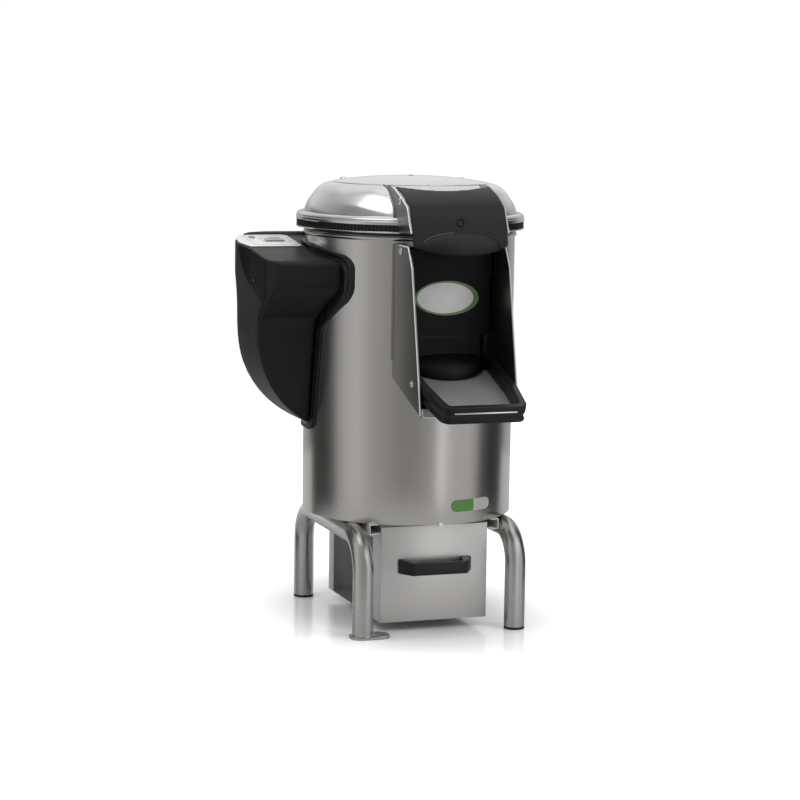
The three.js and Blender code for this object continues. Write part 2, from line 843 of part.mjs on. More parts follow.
function drumBulk(grow) {
  return turned([
    [0, 0], [drumRadius + grow, 0], [drumRadius + grow, drumTop - beadDrop - beadRadius - grow],
    [drumRadius + beadRadius + grow, drumTop - beadDrop - beadRadius], [drumRadius + beadRadius + grow, drumTop + grow],
    [0, drumTop + grow],
  ]);
}

// Hinge at the back: a bracket on the drum, a leaf on the lid's rim and the pin between them
function hingeBracket() {
  const earX = knuckleHalf + fit;
  const width = earX + earThickness;
  const baseTop = drumTop - bracketTopDrop;
  const baseBottom = baseTop - bracketDrop;
  const base = block(-width, width, drumRadius / 2, hingeReach + knuckleRadius, baseBottom, baseTop);
  const ears = [-1, 1].map((side) => {
    const [x0, x1] = side < 0 ? [-width, -earX] : [earX, width];
    const upright = block(x0, x1, hingeReach - knuckleRadius, hingeReach + knuckleRadius, baseBottom, hingeHeight);
    return join(upright, crossRod(knuckleRadius, x0, x1, hingeReach, hingeHeight));
  });
  const bore = crossRod(hingePinRadius + fit, -width - overrun, width + overrun, hingeReach, hingeHeight);
  return cut(join(base, ...ears), drumBulk(fit), bore);
}

function hingeLeaf() {
  const barrel = crossRod(knuckleRadius, -knuckleHalf, knuckleHalf, hingeReach, hingeHeight);
  const half = bracketDepth / 2;
  const arm = block(-knuckleHalf, knuckleHalf, rimRadius / 2, hingeReach, hingeHeight - half, hingeHeight + half);
  const bore = crossRod(hingePinRadius + fit, -knuckleHalf - overrun, knuckleHalf + overrun, hingeReach, hingeHeight);
  return cut(join(barrel, arm), lidBulk(fit), bore);
}

function hingePin() {
  const reach = knuckleHalf + fit + earThickness + fit;
  const head = crossRod(pinHeadRadius, -reach - pinHeadThickness, -reach, hingeReach, hingeHeight);
  const shank = crossRod(hingePinRadius, -reach - fit, reach, hingeReach, hingeHeight);
  return join(head, shank);
}

piece('hinge_bracket', hingeBracket(), steel);
piece('lid_hinge_leaf', hingeLeaf(), steel);
piece('lid_hinge_pin', hingePin(), steel);

// Hood outline in the upright plane of the machine, from its rear top edge down to its front lower edge
const hoodTop = rimBottom + hoodCrest + rimLip;
const hoodBottom = drumTop - hoodDrop;

function hoodOutline(inset) {
  return [
    [-hoodRear, hoodTop - inset],
    [-hoodRear - hoodShoulderRun, hoodTop - hoodShoulderDrop - inset],
    [-hoodRear - hoodBrowRun + inset / 2, hoodTop - hoodBrowDrop - inset / 2],
    [-hoodRear - hoodNoseRun + inset, hoodTop - hoodNoseDrop],
    [-hoodFront + inset, hoodTop - hoodChinDrop],
    [-hoodFront + inset, hoodBottom],
  ];
}

function lidCheek(side) {
  const bottom = rimBottom + lidCheekBottom;
  const [rear, shoulder, brow, nose, chin] = hoodOutline(hoodProud);
  const shape = rounded([
    [-capRadius * 0.75, domeTop - hoodProud, 0], [-capRadius, domeTop + hoodProud, softCorner],
    [rear[0], rear[1] + hoodProud, midCorner], [...shoulder, softCorner], [...brow, softCorner],
    [...nose, softCorner], [chin[0], bottom, smallCorner], [-rimRadius / 2, bottom, 0],
  ]);
  const [x0, x1] = side < 0 ? [-cheekOuter, -cheekInner] : [cheekInner, cheekOuter];
  return cut(alongX(shape, x0, x1), lidBulk(fit));
}

for (const side of [-1, 1]) piece(`lid_cheek_${mirrored(side)}`, lidCheek(side), steel);

// A lens-shaped grip that bulges from an upright face: its widest line sags in the middle
function gripLens(halfWidth, bulge, rise, fall, sag, back) {
  const lens = new THREE.SphereGeometry(1, smallSides, smallSides / 2);
  const at = lens.attributes.position;
  for (let i = 0; i < at.count; i += 1) {
    const [x, y, z] = [at.getX(i), at.getY(i), at.getZ(i)];
    at.setXYZ(i, x * halfWidth, y * (y < 0 ? bulge : back), z * (z < 0 ? fall : rise) - sag * (1 - x * x));
  }
  return lens;
}

function lidHood() {
  const outer = hoodOutline(0);
  const inner = hoodOutline(hoodWall).reverse();
  const half = cheekInner - fit;
  const radii = [0, softCorner, softCorner, softCorner, softCorner, 0];
  const skin = rounded([
    ...outer.map((point, i) => [...point, radii[i]]),
    ...inner.map((point, i) => [...point, radii[inner.length - 1 - i]]),
  ]);
  const shell = alongX(skin, -half, half);
  const middle = hoodWall / 2 - hoodFront;
  const grip = gripLens(gripHalfWidth, gripBulge, gripRise, gripFall, gripSag, hoodWall / 2)
    .translate(0, middle, hoodBottom);
  const hollow = gripLens(gripHalfWidth - hoodWall, gripBulge - hoodWall, gripRise - hoodWall,
    gripFall + 2 * hoodWall, gripSag, gripBulge).translate(0, middle, hoodBottom);
  return cut(join(shell, grip), hollow, lidBulk(fit), drumBulk(fit));
}

piece('lid_hood', lidHood(), blackPlastic);

// Chute: two cheeks welded to the drum, a sloping floor with a front lip, and four shoulder screws
function chuteCheek(side) {
  const shape = rounded([
    [-drumRadius / 2, chuteTop, 0], [-chuteTopReach, chuteTop, chuteCorner],
    [-chuteShoulderReach, chuteTop - chuteShoulderDrop, chuteCorner],
    [-chuteKneeReach, chuteKneeHeight, chuteCorner], [-chuteToeReach, chuteToeHeight, 0],
    [-drumRadius / 2, chuteHeelHeight + (chuteHeelHeight - chuteToeHeight) / 2, 0],
  ]);
  const [x0, x1] = side < 0 ? [-cheekOuter, -cheekInner] : [cheekInner, cheekOuter];
  const holes = [[doorPivotReach, doorPivotHeight], [trayPivotReach, trayPivotHeight]].map(([reach, height]) => (
    crossRod(screwRadius + fit, x0 - overrun, x1 + overrun, -reach, height, tubeSides)));
  return cut(alongX(shape, x0, x1), drumBulk(fit), ...holes);
}

function chuteScrew(side, reach, height, depth) {
  const head = crossRod(screwHeadRadius, cheekOuter + fit, cheekOuter + fit + screwHeadThickness, 0, 0, tubeSides);
  const shank = crossRod(screwRadius, cheekInner - depth, cheekOuter + 2 * fit, 0, 0, tubeSides);
  const screw = geometryOf(join(head, shank));
  if (side < 0) screw.rotateZ(Math.PI);
  return screw.translate(0, -reach, height);
}

for (const side of [-1, 1]) {
  piece(`chute_cheek_${mirrored(side)}`, chuteCheek(side), steel);
  piece(`door_pivot_${mirrored(side)}`,
    chuteScrew(side, doorPivotReach, doorPivotHeight, doorEarThickness + fit), steel);
  piece(`tray_screw_${mirrored(side)}`,
    chuteScrew(side, trayPivotReach, trayPivotHeight, armThickness * 0.6), steel);
}

function chuteFloor() {
  const run = chuteToeReach - drumRadius / 2;
  const fall = 1.5 * (chuteHeelHeight - chuteToeHeight) / run;
  const lipY = -chuteToeReach + cheekSheet;
  const floorAt = (y) => chuteToeHeight + (y + chuteToeReach) * fall + chuteFloorSheet;
  const shape = outline([
    [-drumRadius / 2, floorAt(-drumRadius / 2)], [lipY + chuteFloorSheet, floorAt(lipY + chuteFloorSheet)],
    [lipY + chuteFloorSheet, chuteToeHeight + chuteLipHeight], [lipY, chuteToeHeight + chuteLipHeight],
    [lipY, chuteToeHeight], [-drumRadius / 2, floorAt(-drumRadius / 2) - chuteFloorSheet],
  ]);
  return cut(alongX(shape, -cheekInner + fit, cheekInner - fit), drumBulk(fit));
}

piece('chute_floor', chuteFloor(), steel);

// Rubber frame round the discharge opening, curved like the drum
function doorFrame() {
  const half = openingWidth / 2 + frameWidth;
  const bent = ring(drumRadius + fit, drumRadius + fit + frameThickness, openingBottom - frameWidth,
    openingTop + frameWidth);
  const window = block(-half, half, -drumRadius * 2, 0, 0, 2 * drumTop);
  return cut(common(bent, window), openingCutter(openingWidth / 2));
}

piece('door_frame_seal', doorFrame(), rubber);

// Discharge door: a wide upper panel, a narrower lower one with the grip, and two ears at the pivots
function dischargeDoor() {
  const bottom = openingBottom + doorBottomGap;
  const back = -doorFace + doorThickness;
  const shape = rounded([
    ...[-1, 1].flatMap((side) => {
      const half = [[doorHalfWidth, doorTopHeight], [doorHalfWidth, doorStep], [doorLowerHalf, doorStep],
        [doorLowerHalf, bottom]].map(([x, z]) => [side * x, z, smallCorner]);
      return side < 0 ? half : half.reverse();
    }),
  ]);
  const panel = alongY(shape, -doorFace, back);
  const rib = block(-openingWidth / 2, openingWidth / 2, -doorFace, back, doorStep - doorThickness, doorStep);
  const grip = gripLens(doorGripHalf, doorGripReach, doorGripRise, doorGripFall, doorGripSag, doorThickness / 2)
    .translate(0, doorThickness / 2 - doorFace, doorGripHeight);
  const scoop = gripLens(doorGripHalf - doorThickness, doorGripReach - doorThickness, doorGripRise - doorThickness,
    doorGripFall + 2 * doorThickness, doorGripSag, doorThickness / 2)
    .translate(0, doorThickness / 2 - doorFace, doorGripHeight);
  const underFloor = block(-drumRadius, drumRadius, -2 * drumRadius, 0, 0, bottom);
  const tilted = underFloor.clone().translate(0, doorFace, -bottom).rotateX(traySlopeAngle)
    .translate(0, -doorFace, bottom);
  const earInner = cheekInner - fit - doorEarThickness;
  const ears = [-1, 1].map((side) => {
    const [x0, x1] = side < 0 ? [-cheekInner + fit, -earInner] : [earInner, cheekInner - fit];
    const flap = block(x0, x1, -doorPivotReach - doorEarRadius, back, doorTopHeight - 4 * doorEarRadius,
      doorPivotHeight);
    const eye = crossRod(doorEarRadius, x0, x1, -doorPivotReach, doorPivotHeight);
    return join(flap, eye);
  });
  const bore = crossRod(screwRadius + fit, -cheekOuter, cheekOuter, -doorPivotReach, doorPivotHeight, tubeSides);
  return cut(join(cut(join(panel, rib, grip), cut(scoop, block(-drumRadius, drumRadius, -doorFace, 0, 0, drumTop)),
    tilted), ...ears), bore);
}

piece('discharge_door', dischargeDoor(), blackPlastic);

function doorBadge() {
  const oval = new THREE.Shape().absellipse(0, badgeHeight, badgeHalfWidth, badgeHalfHeight, 0, 2 * Math.PI);
  return alongY(oval, -doorFace - fit - badgeThickness, -doorFace - fit, tubeSides);
}

piece('door_badge', doorBadge(), whitePlastic);

// Tray: a black frame on the lower screws, a steel floor let into it and a bright strip on its bar.
// It is shaped level, with its screws at the origin, and its group gives it the slope.
const tray = new THREE.Group();
tray.position.set(0, -trayPivotReach, trayPivotHeight);
tray.rotation.x = traySlopeAngle;
machine.add(tray);

const armOuter = cheekInner - fit;
const trayBottom = -trayHeight / 2;

function trayPlan(inset, front, rear) {
  const back = armOuter - inset;
  const tip = trayFrontHalf - inset;
  const corner = Math.max(trayCorner - inset, fit);
  return rounded([
    [-back, rear, 0], [-back, -trayTaperStart, trayBend], [-tip, -front, corner], [tip, -front, corner],
    [back, -trayTaperStart, trayBend], [back, rear, 0],
  ]);
}

function trayFloorPlate(grow) {
  const lift = trayBottom + trayFloorLift;
  return alongZ(trayPlan(armThickness - trayGroove - grow, trayFront - barDepth + trayGroove + grow,
    trayRear + grow * 4), lift - grow, lift + trayFloorSheet + grow);
}

function trayFrame() {
  const outer = alongZ(trayPlan(0, trayFront, trayRear), trayBottom, trayBottom + trayHeight);
  const inner = alongZ(trayPlan(armThickness, trayFront - barDepth, trayRear + overrun), trayBottom - overrun,
    trayBottom + trayHeight + overrun);
  const stripMiddle = trayBottom + trayHeight - stripDrop - stripHeight / 2;
  const seat = block(-stripHalfLength - fit, stripHalfLength + fit, -trayFront - overrun,
    -trayFront + stripThickness / 2, stripMiddle - stripHeight / 2 - fit, stripMiddle + stripHeight / 2 + fit);
  const bore = crossRod(screwRadius + fit, -armOuter - overrun, -armOuter + armThickness * 0.7, 0, 0, tubeSides);
  const boreRight = crossRod(screwRadius + fit, armOuter - armThickness * 0.7, armOuter + overrun, 0, 0, tubeSides);
  return cut(outer, inner, trayFloorPlate(fit), seat, bore, boreRight);
}

function trayStrip() {
  const stripMiddle = trayBottom + trayHeight - stripDrop - stripHeight / 2;
  return block(-stripHalfLength, stripHalfLength, -trayFront - stripThickness / 2,
    -trayFront + stripThickness / 2 - fit, stripMiddle - stripHeight / 2, stripMiddle + stripHeight / 2);
}

piece('tray_frame', trayFrame(), blackPlastic, tray);
piece('tray_floor', trayFloorPlate(0), steel, tray);
piece('tray_strip', trayStrip(), polished, tray);

// Control box: its side view and its front view, both filled, meet in one body that fits the drum
function boxSide(inset) {
  return rounded([
    [-boxFront + inset, boxFrontTop - inset, boxCorner / 3],
    [-boxFront + inset, boxFrontTop - boxFrontDrop, boxCorner],
    [-boxNeck + inset, boxNeckTop - inset, boxCorner],
    [-boxNeckFoot + inset, boxToe + inset, boxCorner],
    [boxRear - inset, boxToe + inset, boxCorner],
    [boxRear - inset, boxNeckTop - inset, boxCorner],
    [boxCrownRear - inset, boxNeckTop + boxFrontDrop, boxCorner],
    [boxCrownRear - inset, boxCrownHeight - inset, smallCorner],
    [boxRear - inset, boxCrownHeight - inset, smallCorner / 2],
    [boxRear - inset, boxPanelRearHeight - inset, 0],
    [boxPanelFront - inset, boxPanelFrontHeight - inset, smallCorner],
  ]);
}

function boxElevation(inset) {
  const shape = new THREE.Shape();
  const face = -boxFace + inset;
  const toe = boxToe + inset;
  shape.moveTo(-drumRadius / 2, toe - drumWall);
  shape.lineTo(-drumRadius, toe);
  shape.bezierCurveTo(-drumRadius - (boxFace - drumRadius) * 0.62, toe + (boxCurveTop - boxToe) * 0.18,
    face, toe + (boxCurveTop - boxToe) * 0.52, face, boxCurveTop);
  const lobe = face - boxLobe;
  shape.bezierCurveTo(face, boxCurveTop + lobeRise / 2, lobe, boxCurveTop + lobeRise / 2, lobe, boxCurveTop + lobeRise);
  shape.lineTo(lobe, boxCrownHeight + overrun);
  shape.lineTo(-drumRadius / 2, boxCrownHeight + overrun);
  shape.closePath();
  return shape;
}

// Shares of the lobe's swell past the face, and of the box's depth from its front
const lobeShares = [[-0.2, 0.97], [0.62, 0.83], [1, 0.65], [0.55, 0.507], [0.4, 0.43]];
const lobeBends = [boxCorner, lobeBend, lobeBend, midCorner, midCorner];

function boxPlan(inset) {
  return rounded([
    [-drumRadius / 2, -boxFront + inset, 0], [-drumRadius / 2, boxCrownRear - inset, 0],
    [-boxFace + boxCrownRun - inset, boxCrownRear - inset, boxCorner],
    ...lobeShares.map(([out, back], i) => [
      -boxFace - boxLobe * out + inset, (boxRear + boxFront) * back - boxFront, lobeBends[i],
    ]),
    [-boxFace + inset, -boxFront + inset, boxCorner],
  ]);
}

function boxBody(inset, grow) {
  return cut(common(
    alongX(boxSide(inset), -boxFace - boxLobe - overrun, -drumRadius / 2),
    alongY(boxElevation(inset), -boxFront - overrun, boxCrownRear + overrun, smallSides / 2),
    alongZ(boxPlan(inset), 0, boxCrownHeight + overrun),
  ), drumBulk(grow));
}

// Panel frame: a group on the sloping top, with its own X and Y on the panel's face
const panelCentreX = -boxFace + panelInset + panelWidth / 2;
const console = new THREE.Group();
console.position.set(panelCentreX, (boxPanelFront + boxRear) / 2, (boxPanelFrontHeight + boxPanelRearHeight) / 2);
console.rotation.x = panelTilt;
machine.add(console);
console.updateMatrix();

const panelHalfX = panelWidth / 2;
const panelHalfY = panelDepth / 2 / Math.cos(panelTilt) - panelInset;
const startY = stopHalfDepth + buttonGap + startHalfDepth - buttonDrop;
const controls = [
  { name: 'start_button', x: buttonOffset + buttonDrop, y: startY, stem: buttonStemRadius },
  { name: 'stop_button', x: buttonOffset, y: -buttonDrop, stem: buttonStemRadius },
  { name: 'timer_knob', x: -knobOffset, y: knobRise, stem: knobStemRadius },
];
const keys = [
  { ...controls[0], halfWidth: startHalfWidth, halfDepth: startHalfDepth, finish: greenPlastic },
  { ...controls[1], halfWidth: stopHalfWidth, halfDepth: stopHalfDepth, finish: redPlastic },
];

function placedOnPanel(geometry) {
  return geometry.clone().applyMatrix4(console.matrix);
}

function controlCutters(clearance, low) {
  return controls.map(({ x, y, stem }) => rod(stem + clearance, low, overrun).translate(x, y, 0));
}

function boxCover() {
  const holes = controlCutters(fit * 2, -buttonStemLength - overrun).map(placedOnPanel);
  const gland = glandPlaced(rod(glandNeck + fit, -glandLength, glandLength));
  return cut(boxBody(0, flangeThickness), boxBody(boxWall, -overrun), ...holes, gland);
}

// The cable gland sits on the box's rear face and points backwards.
function glandPlaced(geometry) {
  return geometry.rotateX(-Math.PI / 2).translate(-drumRadius - glandInset, boxRear, glandHeight);
}

piece('control_box_cover', boxCover(), blackPlastic);

// Flange: a band that follows the box's edge on the drum
function boxFlange() {
  const side = (grow) => rounded([
    [-boxFront - grow, boxFrontTop + grow * 0.4, boxCorner],
    [-boxFront - grow, boxFrontTop - boxFrontDrop - grow / 2, boxCorner * 1.4],
    [-boxNeck - grow, boxNeckTop - grow / 2, boxCorner],
    [-boxNeckFoot - grow, boxToe - flangeToeDrop, boxCorner],
    [boxRear - boxNeck + boxNeckFoot + grow, boxToe - flangeToeDrop, boxCorner],
    [boxRear + grow, boxNeckTop - grow / 2, boxCorner],
    [boxCrownRear, boxNeckTop + boxFrontDrop, boxCorner * 1.4],
    [boxCrownRear, boxCrownHeight - grow / 4, boxCorner],
    [boxPanelFront - grow, boxPanelFrontHeight + grow * 0.4, boxCorner],
  ]);
  const band = ring(drumRadius + fit, drumRadius + flangeThickness - fit, boxToe - 2 * flangeWidth, drumTop - beadDrop
    - beadRadius - fit);
  const plate = common(band, alongX(side(flangeWidth), -drumRadius - flangeWidth, 0));
  const hollow = boxBody(boxWall * 3, -overrun * 3);
  return cut(plate, hollow);
}

piece('control_box_flange', boxFlange(), rubber);

function controlPanel() {
  const plate = alongZ(rounded([
    [-panelHalfX - boxLobe, -panelHalfY / 4, lobeBend], [-panelHalfX - boxLobe / 2, -panelHalfY * 0.85, smallCorner],
    [-panelHalfX - boxLobe / 3, -panelHalfY, smallCorner / 2],
    [panelHalfX, -panelHalfY, midCorner], [panelHalfX, panelHalfY, softCorner],
    [-panelHalfX, panelHalfY, softCorner], [-panelHalfX - boxLobe * 0.7, panelHalfY * 0.35, lobeBend],
  ]), fit, fit + panelThickness);
  return cut(plate, ...controlCutters(fit * 2, -overrun));
}

piece('control_panel', controlPanel(), whitePlastic, console);

const faceTop = fit + panelThickness;
for (const { name, x, y, stem, halfWidth, halfDepth, finish } of keys) {
  const low = faceTop + fit + buttonTravel;
  const cap = alongZ(rounded([
    [-halfWidth, -halfDepth, smallCorner], [halfWidth, -halfDepth, smallCorner],
    [halfWidth, halfDepth, smallCorner], [-halfWidth, halfDepth, smallCorner],
  ]), low, low + buttonHeight);
  piece(name, join(cap, rod(stem, -buttonStemLength, low + fit, smallSides)), finish, console).position.set(x, y, 0);
}

function timerKnob() {
  const skirt = faceTop + fit;
  const body = turned([
    [0, -buttonStemLength], [knobStemRadius, -buttonStemLength], [knobStemRadius, skirt], [knobRadius, skirt],
    [knobRadius * 0.9, skirt + knobHeight], [0, skirt + knobHeight],
  ], smallSides);
  const flats = [-1, 1].map((side) => {
    const [x0, x1] = side < 0 ? [-knobRadius * 2, -knobRadius / 3] : [knobRadius / 3, knobRadius * 2];
    return block(x0, x1, -knobRadius * 2, knobRadius * 2, skirt + knobHeight / 3, skirt + 2 * knobHeight);
  });
  return cut(body, ...flats);
}

piece('timer_knob', timerKnob(), blackPlastic, console).position.set(controls[2].x, controls[2].y, 0);

// Switch block inside the box, on the drum's wall, that the buttons and the timer reach
function switchBlock() {
  const lowest = boxPanelFrontHeight - buttonStemLength - 3 * boxWall;
  return cut(block(panelCentreX - panelHalfX + boxWall * 3, -drumRadius / 2, boxPanelFront + boxWall * 3, boxRear - boxWall * 6,
    lowest - buttonStemLength * 3, lowest - buttonTravel), drumBulk(fit));
}

piece('switch_block', switchBlock(), blackPlastic);

// Cable gland with a bore for the lead
piece('cable_gland', glandPlaced(turned([
  [glandBore, -2 * boxWall], [glandNeck, -2 * boxWall], [glandNeck, fit], [glandRadius, fit],
  [glandRadius, glandNutLength], [glandNeck, glandLength], [glandBore, glandLength],
])), rubber);

// Water inlet: a flanged stub through the drum's wall and its lining
function waterInlet() {
  const inside = drumInner - liningThickness + fit;
  const tube = inletRod(inletRadius, inside, drumRadius + inletLength);
  const flange = inletRod(inletFlange, drumRadius - overrun, drumRadius + inletFlangeThickness + fit);
  const shoulder = cut(flange, drumBulk(fit));
  return cut(join(tube, shoulder), inletRod(inletRadius - inletWall, inside - overrun,
    drumRadius + inletLength + overrun));
}

piece('water_inlet', waterInlet(), polished);

// Drawer rails under the deck: a folded strip on each side that the drawer's lips slide in
const railTop = tubeTop;
const railBottom = railTop - railHeight;
for (const side of [-1, 1]) {
  const inner = railOuterHalf - railLedge;
  const strip = outline([
    [railOuterHalf, railTop], [railOuterHalf, railBottom], [inner, railBottom],
    [inner, railBottom + railSheet], [railOuterHalf - railSheet, railBottom + railSheet],
    [railOuterHalf - railSheet, railTop - railSheet], [inner, railTop - railSheet], [inner, railTop],
  ].map(([x, z]) => [side * x, z]));
  piece(`drawer_rail_${mirrored(side)}`, alongY(strip, -drawerFrontReach, drawerRearReach), steel);
}

// Filter drawer: an open box of sheet with a wide window in each side and lips on the rails
const drawerTop = railTop - railSheet - drawerTopGap;
const lipBottom = railBottom + railSheet + fit;

function filterDrawer() {
  const w = drawerHalfWidth;
  const outer = block(-w, w, -drawerFrontReach + frontSheet + fit, drawerRearReach, drawerFloorHeight, drawerTop);
  const inner = block(-w + drawerSheet, w - drawerSheet, -drawerFrontReach + frontSheet + fit + drawerSheet,
    drawerRearReach - drawerSheet, drawerFloorHeight + drawerSheet, drawerTop + overrun);
  const lips = [-1, 1].map((side) => {
    const [x0, x1] = side < 0 ? [-w - runnerLip, -w + drawerSheet] : [w - drawerSheet, w + runnerLip];
    return block(x0, x1, -drawerFrontReach + frontSheet + fit, drawerRearReach, lipBottom, lipBottom + drawerSheet);
  });
  const window = block(-2 * w, 2 * w, -drawerFrontReach + frontSheet + fit + drawerFrontStrip, drawerRearReach - drawerRearStrip,
    drawerFloorHeight + drawerSheet, lipBottom - drawerTopStrip);
  return cut(join(cut(outer, inner), ...lips), window);
}

piece('filter_drawer', filterDrawer(), steel);
piece('drawer_front', block(-drawerHalfWidth, drawerHalfWidth, -drawerFrontReach, -drawerFrontReach + frontSheet,
  drawerFloorHeight, railBottom), steel);

// Handle: a bar held off the drawer's front by two sloping feet
function drawerHandle() {
  const face = -drawerFrontReach - fit;
  const plan = rounded([
    [-handleHalfLength, face, 0], [-handleGripHalf - handleBar / 2, face - handleDepth, handleBar],
    [handleGripHalf + handleBar / 2, face - handleDepth, handleBar], [handleHalfLength, face, 0],
    [handleHalfLength - 1.6 * handleBar, face, 0], [handleGripHalf - handleBar / 2, face - handleDepth + handleBar, smallCorner],
    [-handleGripHalf + handleBar / 2, face - handleDepth + handleBar, smallCorner], [-handleHalfLength + 1.6 * handleBar, face, 0],
  ]);
  return alongZ(plan, handleCentreHeight - handleHeight / 2, handleCentreHeight + handleHeight / 2);
}

piece('drawer_handle', drawerHandle(), blackPlastic);

// The origin is on the floor, in the middle of the machine's outline
const extent = new THREE.Box3().setFromObject(machine);
const middle = extent.getCenter(new THREE.Vector3());
machine.position.set(-middle.x, -middle.y, 0);

export default machine;
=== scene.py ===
"""A potato peeler: a steel drum on two bent tube frames, with a domed lid under a black hood,
a discharge chute with its door and tray, a moulded control box and a filter drawer.
Shapes are drawn in millimetres about the drum's upright axis and then set on the frame.
DRUM, TUBE, RIM, CAP, PIN and KNUCKLE are radii."""
import bpy
import bmesh
import math
from mathutils import Matrix, Vector


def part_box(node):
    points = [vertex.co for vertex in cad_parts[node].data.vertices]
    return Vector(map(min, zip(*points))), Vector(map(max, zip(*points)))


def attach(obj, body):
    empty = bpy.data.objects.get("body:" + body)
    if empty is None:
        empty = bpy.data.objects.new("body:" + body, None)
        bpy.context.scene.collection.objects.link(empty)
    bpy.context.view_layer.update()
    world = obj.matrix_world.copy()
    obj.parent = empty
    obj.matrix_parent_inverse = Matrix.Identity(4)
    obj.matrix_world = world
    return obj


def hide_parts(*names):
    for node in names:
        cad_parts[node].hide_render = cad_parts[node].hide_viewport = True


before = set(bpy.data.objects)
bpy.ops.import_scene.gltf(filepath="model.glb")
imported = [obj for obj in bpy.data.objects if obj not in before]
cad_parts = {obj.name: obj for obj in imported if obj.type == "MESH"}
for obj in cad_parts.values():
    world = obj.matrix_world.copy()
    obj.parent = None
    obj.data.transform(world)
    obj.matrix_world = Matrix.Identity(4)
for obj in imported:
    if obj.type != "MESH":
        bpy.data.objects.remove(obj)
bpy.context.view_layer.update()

drum_low, drum_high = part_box("drum_shell")
MIDDLE = Vector(((drum_low.x + drum_high.x) / 2, (drum_low.y + drum_high.y) / 2, 0))
ON_FRAME = Matrix.Translation(MIDDLE) @ Matrix.Scale(0.001, 4)


# Shapes

def only(kind, parts):
    return [part for part in parts if isinstance(part, kind)]


def standing(name, shape):
    """Makes an object of a shape and puts it in the scene."""
    mesh = bpy.data.meshes.new(name)
    shape.to_mesh(mesh)
    shape.free()
    made = bpy.data.objects.new(name, mesh)
    bpy.context.scene.collection.objects.link(made)
    return made


def finished(first, *others):
    """The first object's shape after its modifiers. All the objects leave the scene."""
    bpy.context.view_layer.update()
    made = bpy.data.meshes.new_from_object(first.evaluated_get(bpy.context.evaluated_depsgraph_get()))
    shape = bmesh.new()
    shape.from_mesh(made)
    bpy.data.meshes.remove(made)
    for carrier in (first, *others):
        mesh = carrier.data
        bpy.data.objects.remove(carrier)
        bpy.data.meshes.remove(mesh)
    return shape


def merged(shape, *others):
    """Puts the other shapes into the first one."""
    for other in others:
        carrier = bpy.data.meshes.new("carrier")
        other.to_mesh(carrier)
        other.free()
        shape.from_mesh(carrier)
        bpy.data.meshes.remove(carrier)
    return shape


def tidy(shape):
    bmesh.ops.remove_doubles(shape, verts=shape.verts, dist=0.002)
    bmesh.ops.recalc_face_normals(shape, faces=shape.faces)
    return shape


def moved(shape, matrix):
    bmesh.ops.transform(shape, matrix=matrix, verts=shape.verts)
    return shape


def shifted(shape, x=0, y=0, z=0):
    return moved(shape, Matrix.Translation((x, y, z)))


def rotation(degrees, axis):
    return Matrix.Rotation(math.radians(degrees), 4, axis)


LAID = {"x": rotation(90, "Y"), "y": rotation(-90, "X")}


def laid(axis, shape, x=0, y=0, z=0):
    """Lays an upright turned shape along another axis at a point."""
    return moved(shape, Matrix.Translation((x, y, z)) @ LAID[axis])


def softened(shape, width, rounds=2, sharper_than=25):
    """Rounds every edge that turns by more than the given degrees."""
    sharp = [e for e in shape.edges
             if len(e.link_faces) == 2 and e.calc_face_angle(0) > math.radians(sharper_than)]
    bmesh.ops.bevel(shape, geom=sharp, offset=width, segments=rounds, profile=0.5, affect="EDGES",
                    material=-1, clamp_overlap=True)
    return shape


def turned(profile, steps=144):
    """A profile of (radius, height) points, closed unless an end is on the axis, spun about it."""
    shape = bmesh.new()
    points = [shape.verts.new((r, 0, z)) for r, z in profile]
    after = points[1:] if 0 in (profile[0][0], profile[-1][0]) else points[1:] + points[:1]
    edges = [shape.edges.new(pair) for pair in zip(points, after)]
    bmesh.ops.spin(shape, geom=points + edges, cent=(0, 0, 0), axis=(0, 0, 1), angle=2 * math.pi,
                   steps=steps, use_merge=True)
    return tidy(shape)


def rod(radius, low, high, steps=64, edge=0):
    """An upright round bar, with softened rims where an edge is given."""
    shape = turned([(0, low), (radius, low), (radius, high), (0, high)], steps)
    return softened(shape, edge) if edge else shape


def tube(outer, inner, low, high, steps=144):
    return turned([(inner, low), (outer, low), (outer, high), (inner, high)], steps)


PLANES = {"x": lambda u, v, w: (w, u, v), "y": lambda u, v, w: (u, w, v), "z": lambda u, v, w: (u, v, w)}


def outline(corners, along, at, rounds=6):
    """One flat face from corners (u, v) or (u, v, radius), square to the given axis."""
    shape = bmesh.new()
    points = [shape.verts.new(PLANES[along](c[0], c[1], at)) for c in corners]
    shape.faces.new(points)
    for i, corner in enumerate(corners):
        if len(corner) > 2 and corner[2] > 0:
            here, before, after = (Vector(corners[k][:2]) for k in (i, i - 1, (i + 1) % len(corners)))
            half = (before - here).angle(after - here) / 2
            bmesh.ops.bevel(shape, geom=[points[i]], offset=corner[2] / math.tan(half), segments=rounds,
                            profile=0.5, affect="VERTICES", material=-1, clamp_overlap=False)
    return shape


def thickened(face, way):
    """Pushes a flat face out to a closed plate."""
    pushed = bmesh.ops.extrude_face_region(face, geom=face.faces[:])["geom"]
    bmesh.ops.translate(face, vec=way, verts=only(bmesh.types.BMVert, pushed))
    return tidy(face)


def plate(corners, along, start, end, edge=0, rounds=2, corner_rounds=6):
    """A flat outline pushed from start to end along an axis."""
    shape = thickened(outline(corners, along, start, corner_rounds), Vector(PLANES[along](0, 0, end - start)))
    return softened(shape, edge, rounds) if edge else shape


def rectangle(u0, u1, v0, v1, radius=0):
    """The corners of a rectangle, for an outline."""
    return [(u0, v0, radius), (u1, v0, radius), (u1, v1, radius), (u0, v1, radius)]


def block(x0, x1, y0, y1, z0, z1, edge=0, rounds=2):
    return plate(rectangle(x0, x1, y0, y1), "z", z0, z1, edge, rounds)


SIDES = ((-1, "left"), (1, "right"))


